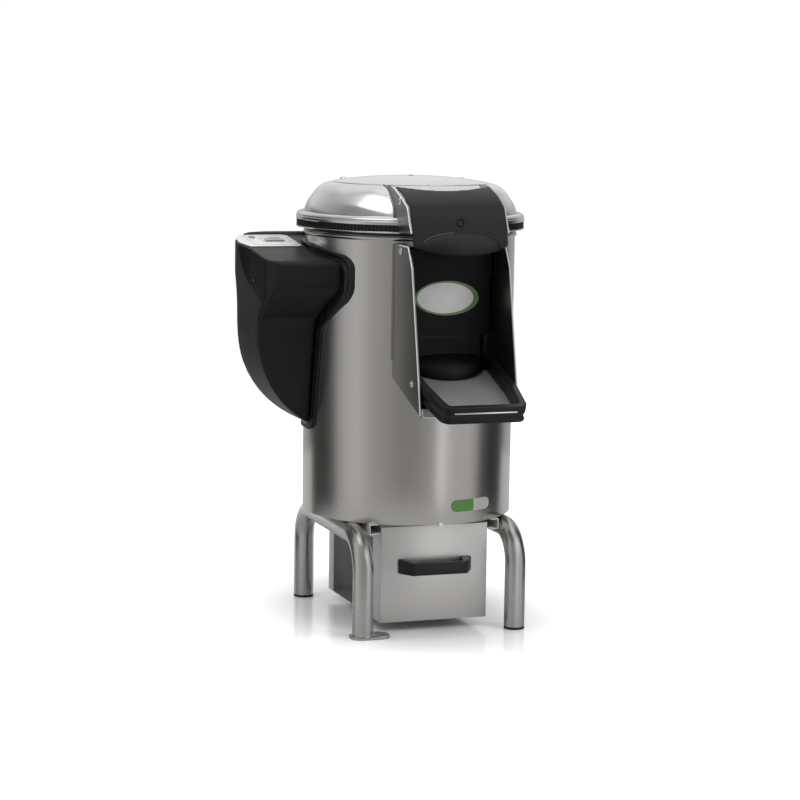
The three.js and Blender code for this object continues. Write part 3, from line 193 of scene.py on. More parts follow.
def across(side, near, far, y0, y1, z0, z1, edge=0):
    """A block from near to far out from the middle on one side."""
    low, high = sorted((side * near, side * far))
    return block(low, high, y0, y1, z0, z1, edge)


def combined(kind, shape, *others):
    """Cuts, joins or intersects closed shapes."""
    base = standing("carrier", shape)
    tools = [standing("carrier", other) for other in others]
    for tool in tools:
        step = base.modifiers.new("step", "BOOLEAN")
        step.operation, step.solver, step.object = kind, "EXACT", tool
    return tidy(finished(base, *tools))


def cut(shape, *tools):
    return combined("DIFFERENCE", shape, *tools)


def common(shape, *tools):
    return combined("INTERSECT", shape, *tools)


def moulded(shape, grain, passes):
    """A soft moulding: the skin is drawn again at one grain and its edges relaxed."""
    carrier = standing("carrier", shape)
    skin = carrier.modifiers.new("skin", "REMESH")
    skin.mode, skin.voxel_size, skin.adaptivity = "VOXEL", grain, 0
    soft = finished(carrier)
    for _ in range(passes):
        bmesh.ops.smooth_vert(soft, verts=soft.verts, factor=0.5, use_axis_x=True, use_axis_y=True,
                              use_axis_z=True)
    return soft


def piped(points, radius, bend, sides=24):
    """A round bar or tube along straight runs with bends of one radius between them."""
    shape = bmesh.new()
    points = [Vector(p) for p in points]
    ways = [(b - a).normalized() for a, b in zip(points, points[1:])]
    aim = ways[0].to_track_quat("Z", "Y").to_matrix().to_4x4()
    bmesh.ops.create_circle(shape, cap_ends=False, segments=sides, radius=radius,
                            matrix=Matrix.Translation(points[0]) @ aim)
    edges = shape.edges[:]
    done = points[0]
    for i, way in enumerate(ways):
        last = i == len(ways) - 1
        turn = 0 if last else way.angle(ways[i + 1])
        end = points[i + 1] - way * (bend * math.tan(turn / 2))
        pushed = bmesh.ops.extrude_edge_only(shape, edges=edges)["geom"]
        bmesh.ops.translate(shape, vec=end - done, verts=only(bmesh.types.BMVert, pushed))
        edges = only(bmesh.types.BMEdge, pushed)
        if not last:
            axis = way.cross(ways[i + 1]).normalized()
            centre = end + axis.cross(way) * bend
            steps = max(3, round(turn / 0.13))
            around = bmesh.ops.spin(shape, geom=edges, cent=centre, axis=axis, angle=turn, steps=steps,
                                    use_merge=False)["geom_last"]
            edges = only(bmesh.types.BMEdge, around)
            done = centre + Matrix.Rotation(turn, 3, axis) @ (end - centre)
    bmesh.ops.holes_fill(shape, edges=shape.edges, sides=0)
    bmesh.ops.recalc_face_normals(shape, faces=shape.faces)
    return shape


def curved(start, *bends):
    """Points along runs of smooth curve; a bend is two pulls, an end and how many points."""
    line, here = [], start
    for pull, push, end, count in bends:
        for k in range(count):
            t, s = k / count, 1 - k / count
            line.append(tuple(a * s ** 3 + b * 3 * t * s ** 2 + c * 3 * t * t * s + d * t ** 3
                              for a, b, c, d in zip(here, pull, push, end)))
        here = end
    return line + [here]


def screw_head(radius, height):
    """A domed screw head with a round socket, standing on the flat at zero."""
    shares = ((0, 0.45), (0.36, 0.45), (0.4, 0.97), (0.62, 1), (0.86, 0.72), (1, 0.25), (0.98, 0), (0, 0))
    return turned([(radius * r, height * h) for r, h in shares], 32)


def lens(half, bulge, rise, fall, sag, back, y, z):
    """A finger grip: a ball drawn out sideways whose widest line sags in the middle."""
    shape = bmesh.new()
    bmesh.ops.create_uvsphere(shape, u_segments=64, v_segments=40, radius=1)
    for vert in shape.verts:
        u, v, w = vert.co
        vert.co = (u * half, v * (bulge if v < 0 else back) + y,
                   w * (fall if w < 0 else rise) - sag * (1 - u * u) + z)
    return shape


# Finishes

class Value:
    """A socket that sums, products and limits can be written with."""

    def __init__(self, nodes, socket):
        self.nodes, self.socket = nodes, socket

    def maths(self, kind, first, second):
        return self.nodes.node("ShaderNodeMath", {"operation": kind}, {0: first, 1: second})

    def __add__(self, other):
        return self.maths("ADD", self, other)

    def __radd__(self, other):
        return self.maths("ADD", other, self)

    def __sub__(self, other):
        return self.maths("SUBTRACT", self, other)

    def __rsub__(self, other):
        return self.maths("SUBTRACT", other, self)

    def __mul__(self, other):
        return self.maths("MULTIPLY", self, other)

    def __rmul__(self, other):
        return self.maths("MULTIPLY", other, self)

    def __truediv__(self, other):
        return self.maths("DIVIDE", self, other)

    def __rtruediv__(self, other):
        return self.maths("DIVIDE", other, self)

    def __lt__(self, other):
        return self.maths("LESS_THAN", self, other)

    def __gt__(self, other):
        return self.maths("GREATER_THAN", self, other)


class Nodes:
    """The nodes of a finish or of the sky."""

    def __init__(self, tree):
        self.tree = tree

    def node(self, kind, settings, sockets, output=0):
        """Any node: its settings first, then the values or links of its sockets."""
        made = self.tree.nodes.new(kind)
        for key, value in settings.items():
            if key == "stops":
                self.set_stops(made.color_ramp, value)
            else:
                setattr(made, key, value)
        for key, value in sockets.items():
            self.fill(made.inputs[key], value)
        return Value(self, made.outputs[output])

    def fill(self, socket, value):
        if isinstance(value, Value):
            self.tree.links.new(value.socket, socket)
        else:
            socket.default_value = value

    @staticmethod
    def set_stops(band, stops):
        while len(band.elements) < len(stops):
            band.elements.new(0.5)
        for element, (at, colour) in zip(band.elements, stops):
            element.position, element.color = at, (*colour, 1)

    def blend(self, factor, first, second):
        """Mixes two colours."""
        first, second = (c if isinstance(c, Value) else (*c, 1) for c in (first, second))
        return self.node("ShaderNodeMix", {"data_type": "RGBA"}, {0: factor, 6: first, 7: second}, 2)

    def vectors(self, kind, first, second, output=0):
        return self.node("ShaderNodeVectorMath", {"operation": kind}, {0: first, 1: second}, output)

    def fading(self, value, start, end):
        """Nothing at one value, one at the other, and a smooth change between."""
        return self.node("ShaderNodeMapRange", {"interpolation_type": "SMOOTHSTEP"},
                         {0: value, 1: start, 2: end})

    def on_path(self, ray):
        """One where the light path is of the named kind, and nothing elsewhere."""
        return self.node("ShaderNodeLightPath", {}, {}, ray)


class Finish(Nodes):
    """One procedural material about a principled shader."""

    def __init__(self, name, **settings):
        self.material = bpy.data.materials.new(name)
        self.material.use_nodes = True
        super().__init__(self.material.node_tree)
        self.shader = self.tree.nodes["Principled BSDF"]
        self.output = self.tree.nodes["Material Output"]
        for socket, value in settings.items():
            self.shader.inputs[socket.replace("_", " ")].default_value = value

    def feed(self, socket, value):
        self.fill(self.shader.inputs[socket], value)

    def place(self, scale=(1, 1, 1)):
        """The point on the piece, in metres from the frame's origin, stretched by a scale."""
        return self.vectors("MULTIPLY", self.node("ShaderNodeTexCoord", {}, {}, "Object"), scale)

    def noise(self, scale, stretch=(1, 1, 1), detail=3, rough=0.5):
        sockets = {"Vector": self.place(stretch), "Scale": scale, "Detail": detail, "Roughness": rough}
        return self.node("ShaderNodeTexNoise", {"noise_dimensions": "3D"}, sockets)

    def cells(self, scale):
        return self.node("ShaderNodeTexVoronoi", {}, {"Vector": self.place(), "Scale": scale}, "Distance")

    def ramp(self, value, *stops):
        return self.node("ShaderNodeValToRGB", {"stops": stops}, {0: value})

    def relief(self, height, strength, depth):
        sockets = {"Strength": strength, "Distance": depth, "Height": height}
        self.feed("Normal", self.node("ShaderNodeBump", {}, sockets))


def steel(name, colour, roughness, grain, bump=0.08, smudge=0.07, patchy=0.16, metal=1.0, detail=4):
    """Stainless steel with a brushed grain, faint smudges and a slow change of tone."""
    made = Finish(name, Metallic=metal)
    lines = made.noise(1, grain, detail, 0.6)
    fine = made.noise(1, tuple(g * 2.7 for g in grain), detail / 2, 0.5)
    smears = made.noise(9, (1, 1, 1.3), detail, 0.6)
    darker, lighter = tuple(c * 0.9 for c in colour), tuple(min(1, c * 1.07) for c in colour)
    made.feed("Base Color", made.blend(lines * 0.6 + fine * 0.2 + smears * 0.2, darker, lighter))
    made.feed("Roughness", (lines - 0.5) * patchy + (smears - 0.5) * (2 * smudge) + roughness)
    if bump:
        made.relief(lines * 0.7 + fine * 0.3, bump, 0.00004)
    return made.material


def moulding(name, colour, roughness, pimples=900, bump=0.35, shine=0.5):
    """Moulded plastic: a fine leathery grain, uneven gloss and uneven tone."""
    made = Finish(name, IOR=1.46, Specular_IOR_Level=shine)
    grain = made.noise(pimples, detail=2)
    cells = made.cells(pimples * 0.8)
    cloud = made.noise(14, detail=4, rough=0.6)
    marks = made.noise(60, (1, 1, 0.35), 3, 0.55)
    darker, lighter = tuple(c * 0.78 for c in colour), tuple(c * 1.25 for c in colour)
    made.feed("Base Color", made.blend(cloud * 0.6 + marks * 0.4, darker, lighter))
    made.feed("Roughness", (cloud - 0.5) * 0.14 + (marks - 0.5) * 0.1 + roughness)
    made.relief(grain * 0.5 + cells * 0.5, bump, 0.00012)
    return made.material


def evenly(lines):
    """A grain that runs in no direction."""
    return lines, lines, lines


AROUND, RIM_AROUND = (14, 14, 1500), (20, 20, 1100)
UPRIGHT, LEVEL_X, LEVEL_Y = (1500, 1500, 16), (14, 1500, 1500), (1500, 14, 1500)

drum_steel = steel("drum_steel", (0.60, 0.585, 0.565), 0.23, AROUND, 0.05, 0.03)
dome_steel = steel("lid_steel", (0.76, 0.755, 0.745), 0.17, evenly(900), 0.04, 0.03)
rim_steel = steel("rim_steel", (0.70, 0.695, 0.685), 0.15, RIM_AROUND, 0.05, 0.03)
sheet_steel = steel("cheek_steel", (0.34, 0.334, 0.324), 0.32, UPRIGHT)
lid_sheet_steel = steel("lid_cheek_steel", (0.44, 0.435, 0.43), 0.3, UPRIGHT)
# Dark steel for the seam flange where the lid's cheeks meet the dome: the flange is part of the lid, its
# darkness is painted shade of that crease
seam_steel = steel("seam_steel", (0.2, 0.2, 0.197), 0.3, evenly(300), 0.03, 0.03, 0.04)
# Near-white, half-metal steel for the cheek hems, drawer rails and chute lip: a painted highlight along those
# edges
hem_steel = steel("hem_steel", (0.92, 0.915, 0.905), 0.2, evenly(300), 0.03, 0.03, 0.04, metal=0.4)
drawer_steel = steel("drawer_steel", (0.76, 0.75, 0.735), 0.34, LEVEL_X)
drawer_side_steel = steel("drawer_side_steel", (0.66, 0.655, 0.65), 0.42, LEVEL_Y, smudge=0.05, patchy=0.1,
                          metal=0.85)
tray_steel = steel("tray_steel", (0.29, 0.29, 0.30), 0.42, LEVEL_X, smudge=0.05, patchy=0.1, metal=0.4)
leg_steel = steel("leg_steel", (0.60, 0.59, 0.575), 0.27, evenly(14), 0, 0.03, 0.04, detail=0)
bright_steel = steel("bright_steel", (0.86, 0.855, 0.845), 0.16, evenly(700), 0.05, 0.03)
dull_steel = steel("inner_steel", (0.42, 0.415, 0.405), 0.42, evenly(600), 0.15)
box_plastic = moulding("box_plastic", (0.0105, 0.0105, 0.0113), 0.42, shine=0.3)
hood_plastic = moulding("hood_plastic", (0.0085, 0.0085, 0.0092), 0.48, shine=0.32)
door_plastic = moulding("door_plastic", (0.0030, 0.0031, 0.0036), 0.42, shine=0.2)
tray_plastic = moulding("tray_plastic", (0.0070, 0.0072, 0.0080), 0.36, shine=0.35)
# Lighter grey plastic for the painted highlight on the hood's grip
lip_plastic = moulding("lip_plastic", (0.075, 0.075, 0.076), 0.3)
handle_plastic = moulding("handle_plastic", (0.0065, 0.0065, 0.007), 0.38)
gasket_rubber = moulding("gasket_rubber", (0.0065, 0.0065, 0.007), 0.45, 1400, 0.5)
flange_rubber = moulding("flange_rubber", (0.0058, 0.0058, 0.0062), 0.24, 1200)
plug_rubber = moulding("plug_rubber", (0.03, 0.029, 0.028), 0.62, 1200, 0.5)
panel_white = moulding("panel_white", (0.66, 0.665, 0.63), 0.4, 1500, 0.1)
frame_grey = moulding("panel_frame_grey", (0.36, 0.37, 0.34), 0.4, 1500, 0.1)
key_grey = moulding("key_grey", (0.34, 0.34, 0.335), 0.4, 1500, 0.1)
badge_white = moulding("badge_white", (0.80, 0.81, 0.80), 0.30, 1500, 0.05)
badge_green = moulding("badge_green", (0.16, 0.27, 0.11), 0.30, 1500, 0.05)
label_green = moulding("label_green", (0.11, 0.27, 0.06), 0.32, 1500, 0.05)
label_white = moulding("label_white", (0.50, 0.50, 0.47), 0.32, 1500, 0.05)
motor_enamel = moulding("motor_enamel", (0.07, 0.11, 0.17), 0.4, 500)
cast_iron = moulding("cast_iron", (0.11, 0.115, 0.12), 0.6, 260, 0.8)

grit_finish = Finish("abrasive_grit", IOR=1.5)
grit_bits = grit_finish.cells(420)
grit_fine = grit_finish.noise(1300, detail=3)
grit_wear = grit_finish.noise(22, detail=4)
grit_tone = grit_bits * 0.6 + grit_fine * 0.25 + grit_wear * 0.3
grit_finish.feed("Base Color", grit_finish.ramp(grit_tone, (0.2, (0.05, 0.045, 0.04)),
                                                (0.55, (0.15, 0.13, 0.11)), (0.8, (0.30, 0.28, 0.25))))
grit_finish.feed("Roughness", grit_fine * 0.2 + 0.72)
grit_finish.relief(grit_bits * 0.7 + grit_fine * 0.3, 1.0, 0.0006)
grit = grit_finish.material


# Putting a piece on the frame

SLOTS = {"steel": "brushed_steel", "plastic": "black_plastic", "rubber": "rubber", "grit": "abrasive",
         "white": "white_plastic", "grey": "white_plastic", "green": "green_plastic"}


def slot_for(finish):
    """The record's material slot that a finish belongs to."""
    return "polished_steel" if finish == bright_steel else SLOTS[finish.name.split("_")[-1]]


def piece(name, shape, finish, body, nodes=(), sharp=32, slot=""):
    """Makes the object, sets it on the frame, hangs it on the body it moves with, and hides the CAD nodes it
    stands for.
    """
    moved(shape, ON_FRAME)
    bmesh.ops.recalc_face_normals(shape, faces=shape.faces)
    made = standing(name, shape)
    made.data.materials.append(finish)
    made.data.shade_smooth()
    made.data.set_sharp_from_angle(angle=math.radians(sharp))
    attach(made, body)
    if nodes:
        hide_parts(*nodes)
    slot or slot_for(finish)
    return made


def refinished(finish, *nodes):
    """Gives a CAD node that stays a better finish."""
    for name in nodes:
        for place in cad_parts[name].material_slots:
            place.material = finish


# Drum

DRUM, DRUM_LOW, DRUM_HIGH, DRUM_BEAD = 195.0, 200.3, 724.0, 3.5
OPEN_HALF, OPEN_LOW, OPEN_HIGH = 72.0, 482.0, 686.0
OUTSIDE, INSIDE = -260, -60
INLET_HEIGHT = 640
FIT = 0.3


def drum_bulk(grow=FIT):
    """The drum's whole space, for cutting its neighbours back to it."""
    side, bead, top = DRUM + grow, DRUM + DRUM_BEAD + grow, DRUM_HIGH + grow
    return turned([(0, 0), (side, 0), (side, 714 - grow), (bead, 715), (bead, top), (0, top)], 192)


def window(inset, corner):
    """The discharge opening's shape, drawn in or out, as a block through the drum's front."""
    side, low, high = OPEN_HALF - inset, OPEN_LOW + inset, OPEN_HIGH - inset
    return plate(rectangle(-side, side, low, high, corner), "y", OUTSIDE, INSIDE)


def inlet_hole():
    return laid("y", rod(11.3, 150, 260), 0, 0, INLET_HEIGHT)


def drum_shell():
    bead = [(DRUM + DRUM_BEAD * math.sin(a), 718 - DRUM_BEAD * math.cos(a))
            for a in (0.25, 0.7, 1.15, 1.57, 2.0, 2.45, 2.9)]
    skin = [(DRUM, DRUM_LOW), (DRUM, 460), (DRUM, 600), (DRUM, 713.5)] + bead + [(DRUM, DRUM_HIGH)]
    inner = [(DRUM - 2, z) for z in (DRUM_HIGH, 600, 460, DRUM_LOW)]
    return cut(softened(turned(skin + inner, 216), 0.5, 2, 60), window(0, 5), inlet_hole())


piece("drum_shell_skin", drum_shell(), drum_steel, "machine", ["drum_shell"])
seam = block(-1.1, 1.1, DRUM - 0.6, DRUM + 0.5, DRUM_LOW + 2, 685, 0.45)
piece("drum_weld_seam", seam, bright_steel, "machine")
tab = [(-8.5, 204), (3.5, 204), (2.5, 197, 2), (-7.5, 197, 2)]
piece("drum_lower_tab", plate(tab, "y", -197.2, -194, 0.5), bright_steel, "machine")

lining = cut(softened(tube(192.7, 188.7, 465, 718, 192), 0.5, 2, 60), window(-0.6, 2), inlet_hole())
piece("lining_coat", lining, grit, "machine", ["abrasive_lining"])


def abrasive_disc():
    """The disc with four grit-covered crests across it."""
    body = turned([(7.5, 457), (176.5, 457), (178, 458.5), (178, 466), (175.5, 469), (7.5, 469)])
    section = [(-13, 463), (-9, 471.5, 6), (-4.3, 476, 4), (4.3, 476, 4), (9, 471.5, 6), (13, 463)]
    crests = [moved(plate(section, "x", 28, 170, 1.4), rotation(45 + 90 * i, "Z")) for i in range(4)]
    return combined("UNION", body, *crests)


piece("disc_coat", abrasive_disc(), grit, "rotor", ["abrasive_disc"])


def label(name, start, end, finish):
    """Part of the pill-shaped label, from one distance along it to another."""
    half_long, half_high, middle, turn = 44, 10.8, 233, rotation(17.6, "Z")
    corners = rectangle(-half_long, half_long, -half_high, half_high, half_high * 0.98)
    pill = plate(corners, "y", OUTSIDE, -100, corner_rounds=10)
    pill = moved(pill, turn @ Matrix.Translation((3, 0, middle)))
    strip = moved(block(start, end, OUTSIDE, -100, 200, 260), turn)
    piece(name, common(tube(DRUM + 0.6, 194.6, 214, 250, 720), pill, strip), finish, "machine")


label("label_left", -60, 7, label_green)
label("label_right", 7, 60, label_white)
nut = [(7.4, 469.4), (19, 469.4), (20, 470.4), (20, 477), (17, 483), (13, 489), (9, 493), (5, 494.4),
       (0, 494.5)]
piece("disc_nut_dome", turned(nut, 96), bright_steel, "rotor", ["disc_nut"])
collar = [(8.5, 189.4), (10.9, 189.4), (10.9, 195.4), (19.2, 195.4), (20, 196.2), (20, 198.4), (19.2, 199.2),
          (12.2, 199.6), (11, 200.8)]
thread = [(11 - 0.7 * (i % 2), 208 + 1.6 * i) for i in range(10)]
mouth = [(11, 225), (11, 227.8), (10.2, 229), (9.2, 229), (8.5, 228.2)]
inlet = laid("y", turned(collar + thread + mouth, 64), 0, 0, INLET_HEIGHT)
piece("water_inlet_stub", inlet, bright_steel, "machine", ["water_inlet"])


# Legs

LEG_OUT, LEG_FRONT, LEG_REAR, LEG_TOP = 147, -193, 173, 181
TUBE, TUBE_BEND, OPEN_END, WELDED_END = 19, 62, 4.9, 4.6


def leg(side, plate_at, front, rear):
    """A bent tube with a welded foot plate at one end and an open end for the plug."""
    x = LEG_OUT * side
    run = [(LEG_FRONT, front), (LEG_FRONT, LEG_TOP), (LEG_REAR, LEG_TOP), (LEG_REAR, rear)]
    bar = piped([(x, y, z) for y, z in run], TUBE, TUBE_BEND, 40)
    out, into, wide, round_off = x + side * 24, x - side * 50, 23, 20
    corners = [(out, plate_at - wide), (out, plate_at + wide), (into, plate_at + wide),
               (into, plate_at - wide)]
    foot = plate([(*corner, round_off) for corner in corners], "z", 0, 5, corner_rounds=10)
    foot = softened(cut(foot, shifted(rod(5.5, -5, 10, 32), x - side * 36, plate_at)), 0.8, 2, 40)
    bead = [(18.6 + 2.4 * math.cos(a), 5.4 + 2.2 * math.sin(a)) for a in (0, 0.5, 1.05, 1.57, 2.3, 3.4, 4.7)]
    return merged(bar, foot, shifted(turned(bead, 72), x, plate_at))


legs = {"left": leg(-1, LEG_FRONT, WELDED_END, OPEN_END), "right": leg(1, LEG_REAR, OPEN_END, WELDED_END)}
plug = [(0, 0), (17.6, 0), (18.6, 0.5), (TUBE, 1.4), (TUBE, 4.2), (18.4, 4.8), (0, 4.8)]
for (side, word), (end, at) in zip(SIDES, (("rear", LEG_REAR), ("front", LEG_FRONT))):
    piece("leg_tube_" + word, legs[word], leg_steel, "machine", ["leg_frame_" + word])
    cap = shifted(turned(plug, 64), LEG_OUT * side, at)
    piece(f"leg_plug_{end}_{word}", cap, plug_rubber, "machine", [f"foot_plug_{end}_{word}"])


# Rails and drawer

RAIL = [(125, 200), (125, 181), (109, 181), (109, 182.5), (123.5, 182.5), (123.5, 198.5), (109, 198.5),
        (109, 200)]
DRAWER_HALF, DRAWER_FRONT, DRAWER_REAR, DRAWER_LOW, DRAWER_HIGH, SHEET = 103, -158.7, 151, 17, 194.5, 1.5

for side, word in SIDES:
    rail = plate([(side * u, v) for u, v in RAIL], "y", -161, DRAWER_REAR, 0.35, 1)
    piece("rail_" + word, rail, hem_steel, "machine", ["drawer_rail_" + word])


def filter_drawer():
    """An open box of sheet with a wide window in each side and a lip along each."""
    inner = DRAWER_HALF - SHEET
    outside = block(-DRAWER_HALF, DRAWER_HALF, DRAWER_FRONT, DRAWER_REAR, DRAWER_LOW, DRAWER_HIGH)
    hollow = block(-inner, inner, DRAWER_FRONT + SHEET, DRAWER_REAR - SHEET, DRAWER_LOW + SHEET, 210)
    windows = block(-130, 130, -114.7, 121, DRAWER_LOW + SHEET, 166.8)
    lips = [across(side, 102, 117, DRAWER_FRONT, DRAWER_REAR, 182.8, 184.3, 0.4) for side, word in SIDES]
    return merged(softened(cut(outside, hollow, windows), 0.4, 1, 60), *lips)


piece("drawer_box", filter_drawer(), drawer_side_steel, "drawer", ["filter_drawer"])
face = block(-DRAWER_HALF, DRAWER_HALF, -161, -159, DRAWER_LOW, 194.3, 0.9, 3)
piece("drawer_face", face, drawer_steel, "drawer", ["drawer_front"])
grip = [(-70, -161.3), (-70, -167), (-53, -195.3, 7), (53, -195.3, 7), (70, -167), (70, -161.3),
        (52, -161.3), (46, -189.3, 4), (-46, -189.3, 4), (-52, -161.3)]
sloped_off = plate([(-161, 134.2), (-200, 130.4), (-200, 140), (-161, 140)], "x", -80, 80)
grip = softened(cut(plate(grip, "z", 108, 134, corner_rounds=8), sloped_off), 2.3, 3, 20)
piece("drawer_grip", grip, handle_plastic, "drawer", ["drawer_handle"])


# Lid

DOME = [(197, 757.3), (196.4, 760), (195.6, 763), (194.4, 766.6), (192.8, 770.4), (190.7, 774.4),
        (188.1, 778.4), (185.3, 782.4), (182.3, 786.6), (179.1, 791), (175.8, 795.4), (171.6, 799.8),
        (166.4, 803.8), (160, 807), (152.6, 809), (146, 810)]
RIM, RIM_LOW, RIM_HIGH = 212, 727, 757
CAP, CAP_EDGE, CAP_RISE = 144, 811.6, 11.4


def crown(r):
    """The cap's height at a radius."""
    return CAP_EDGE + CAP_RISE * (1 - (r / CAP) ** 2.3)


def lid_bulk(grow=FIT):
    """The lid's whole space, for cutting the hood and cheeks back to it."""
    out, low = RIM + grow, RIM_LOW - grow
    foot = [(0, low), (out, low), (out, 752 + grow), (206 + grow, RIM_HIGH + grow)]
    line = [(r + grow, z + grow) for r, z in DOME]
    return turned(foot + line + [(CAP + grow, 813 + grow), (0, 825 + grow)])


rim = [(190.2, RIM_LOW), (206, RIM_LOW), (210.4, 727.8), (RIM, 729.4), (211.8, 730.6), (205.1, 730.8),
       (205.1, 742.4), (211.8, 742.4), (RIM, 747), (211.8, 748.4), (210.2, 748.8), (210, 750), (211.2, 750.6),
       (210.8, 751.8), (208.6, 754.6), (204.6, 756.4), (199, RIM_HIGH), (190.2, RIM_HIGH)]
piece("lid_rim_band", softened(turned(rim, 216), 0.6, 2, 40), rim_steel, "lid", ["lid_rim"])
RIBS = 180
ribs = block(-1.7, 1.7, -210.8, -208.2, 731.4, 741.8, 0.7)
bmesh.ops.spin(ribs, geom=ribs.verts[:] + ribs.edges[:] + ribs.faces[:], cent=(0, 0, 0), axis=(0, 0, 1),
               angle=2 * math.pi * (RIBS - 1) / RIBS, steps=RIBS - 1, use_duplicate=True)
band = merged(tube(208.9, 205.4, 731, 742.2, 180), ribs)
piece("rim_gasket_ribs", band, gasket_rubber, "lid", ["rim_gasket"])
seal = softened(tube(199.4, 190.6, 724.4, 726.7), 0.7, 2, 60)
piece("lid_seal_ring", seal, gasket_rubber, "lid", ["lid_seal"])

step_down = [(145, 810), (143, 809), (134, 809), (134, 807)]
dome_inside = [(r - 2, z - 1.8) for r, z in DOME[::-1][1:-2]] + [(194.7, 757.3)]
piece("lid_dome_skin", turned(DOME + step_down + dome_inside, 216), dome_steel, "lid", ["lid_dome"])
over = [(r, crown(r)) for r in (142.6, 138, 132, 126, 117, 108, 96, 84, 70, 56, 42, 28, 14, 0)]
under = [(r, crown(r) - 2) for r in (0, 56, 108, 138)]
edge = [(143.6, 809.5), (144.2, 809.9), (144.2, 810.7), (143.6, 811.4)]
piece("lid_cap_skin", turned(under + edge + over, 216), dome_steel, "lid", ["lid_cap"])
for i, (angle, out, size) in enumerate(((144, 131, 7), (24, 131, 7), (264, 138, 2.4)), 1):
    spot = out * math.cos(math.radians(angle)), out * math.sin(math.radians(angle)), crown(out) - 0.3
    piece(f"lid_cap_screw_{i}", shifted(screw_head(size, size * 0.55), *spot), bright_steel, "lid")
piece("lid_cap_stud", shifted(screw_head(4.4, 1.5), 0, 0, crown(0) - 0.25), sheet_steel, "lid")


# Cheeks of the lid and of the chute

CHEEK_IN, CHEEK_OUT, HEM_OUT = 89, 91, 91.2
CHUTE_BACK = -97.5
PIVOT_Y, PIVOT_Z, TRAY_Y, TRAY_Z = -211, 698, -280, 471


def cheek(side, corners, bulk):
    """A side sheet cut back to what it stands against."""
    low, high = sorted((side * CHEEK_IN, side * CHEEK_OUT))
    return softened(cut(plate(corners, "x", low, high), bulk), 0.35, 1, 40)


def cheek_hem(side, line):
    """The rolled edge along a cheek."""
    return piped([(side * HEM_OUT, y, z) for y, z in line], 1.5, 9, 14)


LID_CHEEK = [(-108, 805), (-144, 812.6, 10), (-168, 811, 8), (-214, 794, 14), (-246, 778, 14),
             (-259, 749, 14), (-268, 731, 4), (-106, 731)]
LID_HEM = [(-160, 809), (-171, 807.5), (-212, 792), (-243, 776.5), (-256.4, 748.6), (-265.2, 733)]
CHUTE_CHEEK = [(CHUTE_BACK, 710), (-252, 710, 9), (-275, 672, 9), (-317.5, 476, 9), (-329, 417),
               (CHUTE_BACK, 495)]
CHUTE_HEM = [(-203, 708), (-250.6, 708), (-273, 671), (-315.5, 476), (-326.6, 420)]
for side, word in SIDES:
    out = rotation(side * 90, "Y")
    wrap = [(r + 0.4, z + 0.3) for r, z in DOME] + [(r + 2.0, z + 1.6) for r, z in DOME[::-1]]
    saddle = common(turned(wrap, 216), across(side, 91.1, 93.2, -190, -106, 757.6, 830))
    piece("lid_cheek_plate_" + word, cheek(side, LID_CHEEK, lid_bulk()), lid_sheet_steel, "lid",
          ["lid_cheek_" + word])
    piece("lid_cheek_seam_" + word, saddle, seam_steel, "lid")
    piece("lid_cheek_hem_" + word, cheek_hem(side, LID_HEM), hem_steel, "lid")
    fillet = common(tube(196.6, 195.3, 470, 708, 192), across(side, CHEEK_OUT, 93.6, -200, -150, 500, 708))
    piece("chute_cheek_plate_" + word, merged(cheek(side, CHUTE_CHEEK, drum_bulk()), fillet), sheet_steel,
          "machine", ["chute_cheek_" + word])
    piece("chute_cheek_hem_" + word, cheek_hem(side, CHUTE_HEM), hem_steel, "machine")
    for kind, y, z, stem in (("door_pivot_", PIVOT_Y, PIVOT_Z, 86), ("tray_screw_", TRAY_Y, TRAY_Z, 84)):
        head = merged(shifted(screw_head(6.5, 2.6), 0, 0, HEM_OUT), rod(3.9, stem, 91.6, 24, 0.3))
        head = shifted(moved(head, out), 0, y, z)
        piece(kind + "head_" + word, head, bright_steel, "machine", [kind + word])
    for i, (size, y, z) in enumerate(((3.8, -203.4, 789), (2.8, -203.7, 782)), 1):
        rivet = shifted(moved(screw_head(size, 1.9), out), side * CHEEK_OUT, y, z)
        piece(f"cheek_rivet_{word}_{i}", rivet, bright_steel, "lid")


# Hood

HOOD_HALF, HOOD_LOW = 88.7, 706


def lid_hood():
    """A curved sheet between the lid's cheeks with a finger grip over the door."""
    over = curved((-168, 811), ((-196, 805), (-226, 795), (-243, 781), 10),
                  ((-256, 769), (-260, 752), (-264.5, 738), 8),
                  ((-268, 727), (-271, 716), (-272, HOOD_LOW), 5))
    under = curved((-268, HOOD_LOW), ((-267, 716), (-264, 727), (-260.5, 738), 5),
                   ((-256, 752), (-252, 766), (-240.5, 777.5), 8),
                   ((-224, 791), (-196, 801), (-168, 807), 10))
    face = [(-HOOD_HALF, HOOD_LOW, 9), (HOOD_HALF, HOOD_LOW, 9), (HOOD_HALF, 830), (-HOOD_HALF, 830)]
    shell = common(plate(over + under, "x", -HOOD_HALF, HOOD_HALF), plate(face, "y", -320, -120))
    shell = cut(shell, shifted(rod(164, 795, 830, 128), 0, -30))
    shell = combined("UNION", shell, lens(74, 26, 36, 8, 8, 2, -270, HOOD_LOW))
    return cut(shell, lens(70, 22, 32, 16, 8, 26, -270, HOOD_LOW), lid_bulk(), drum_bulk())


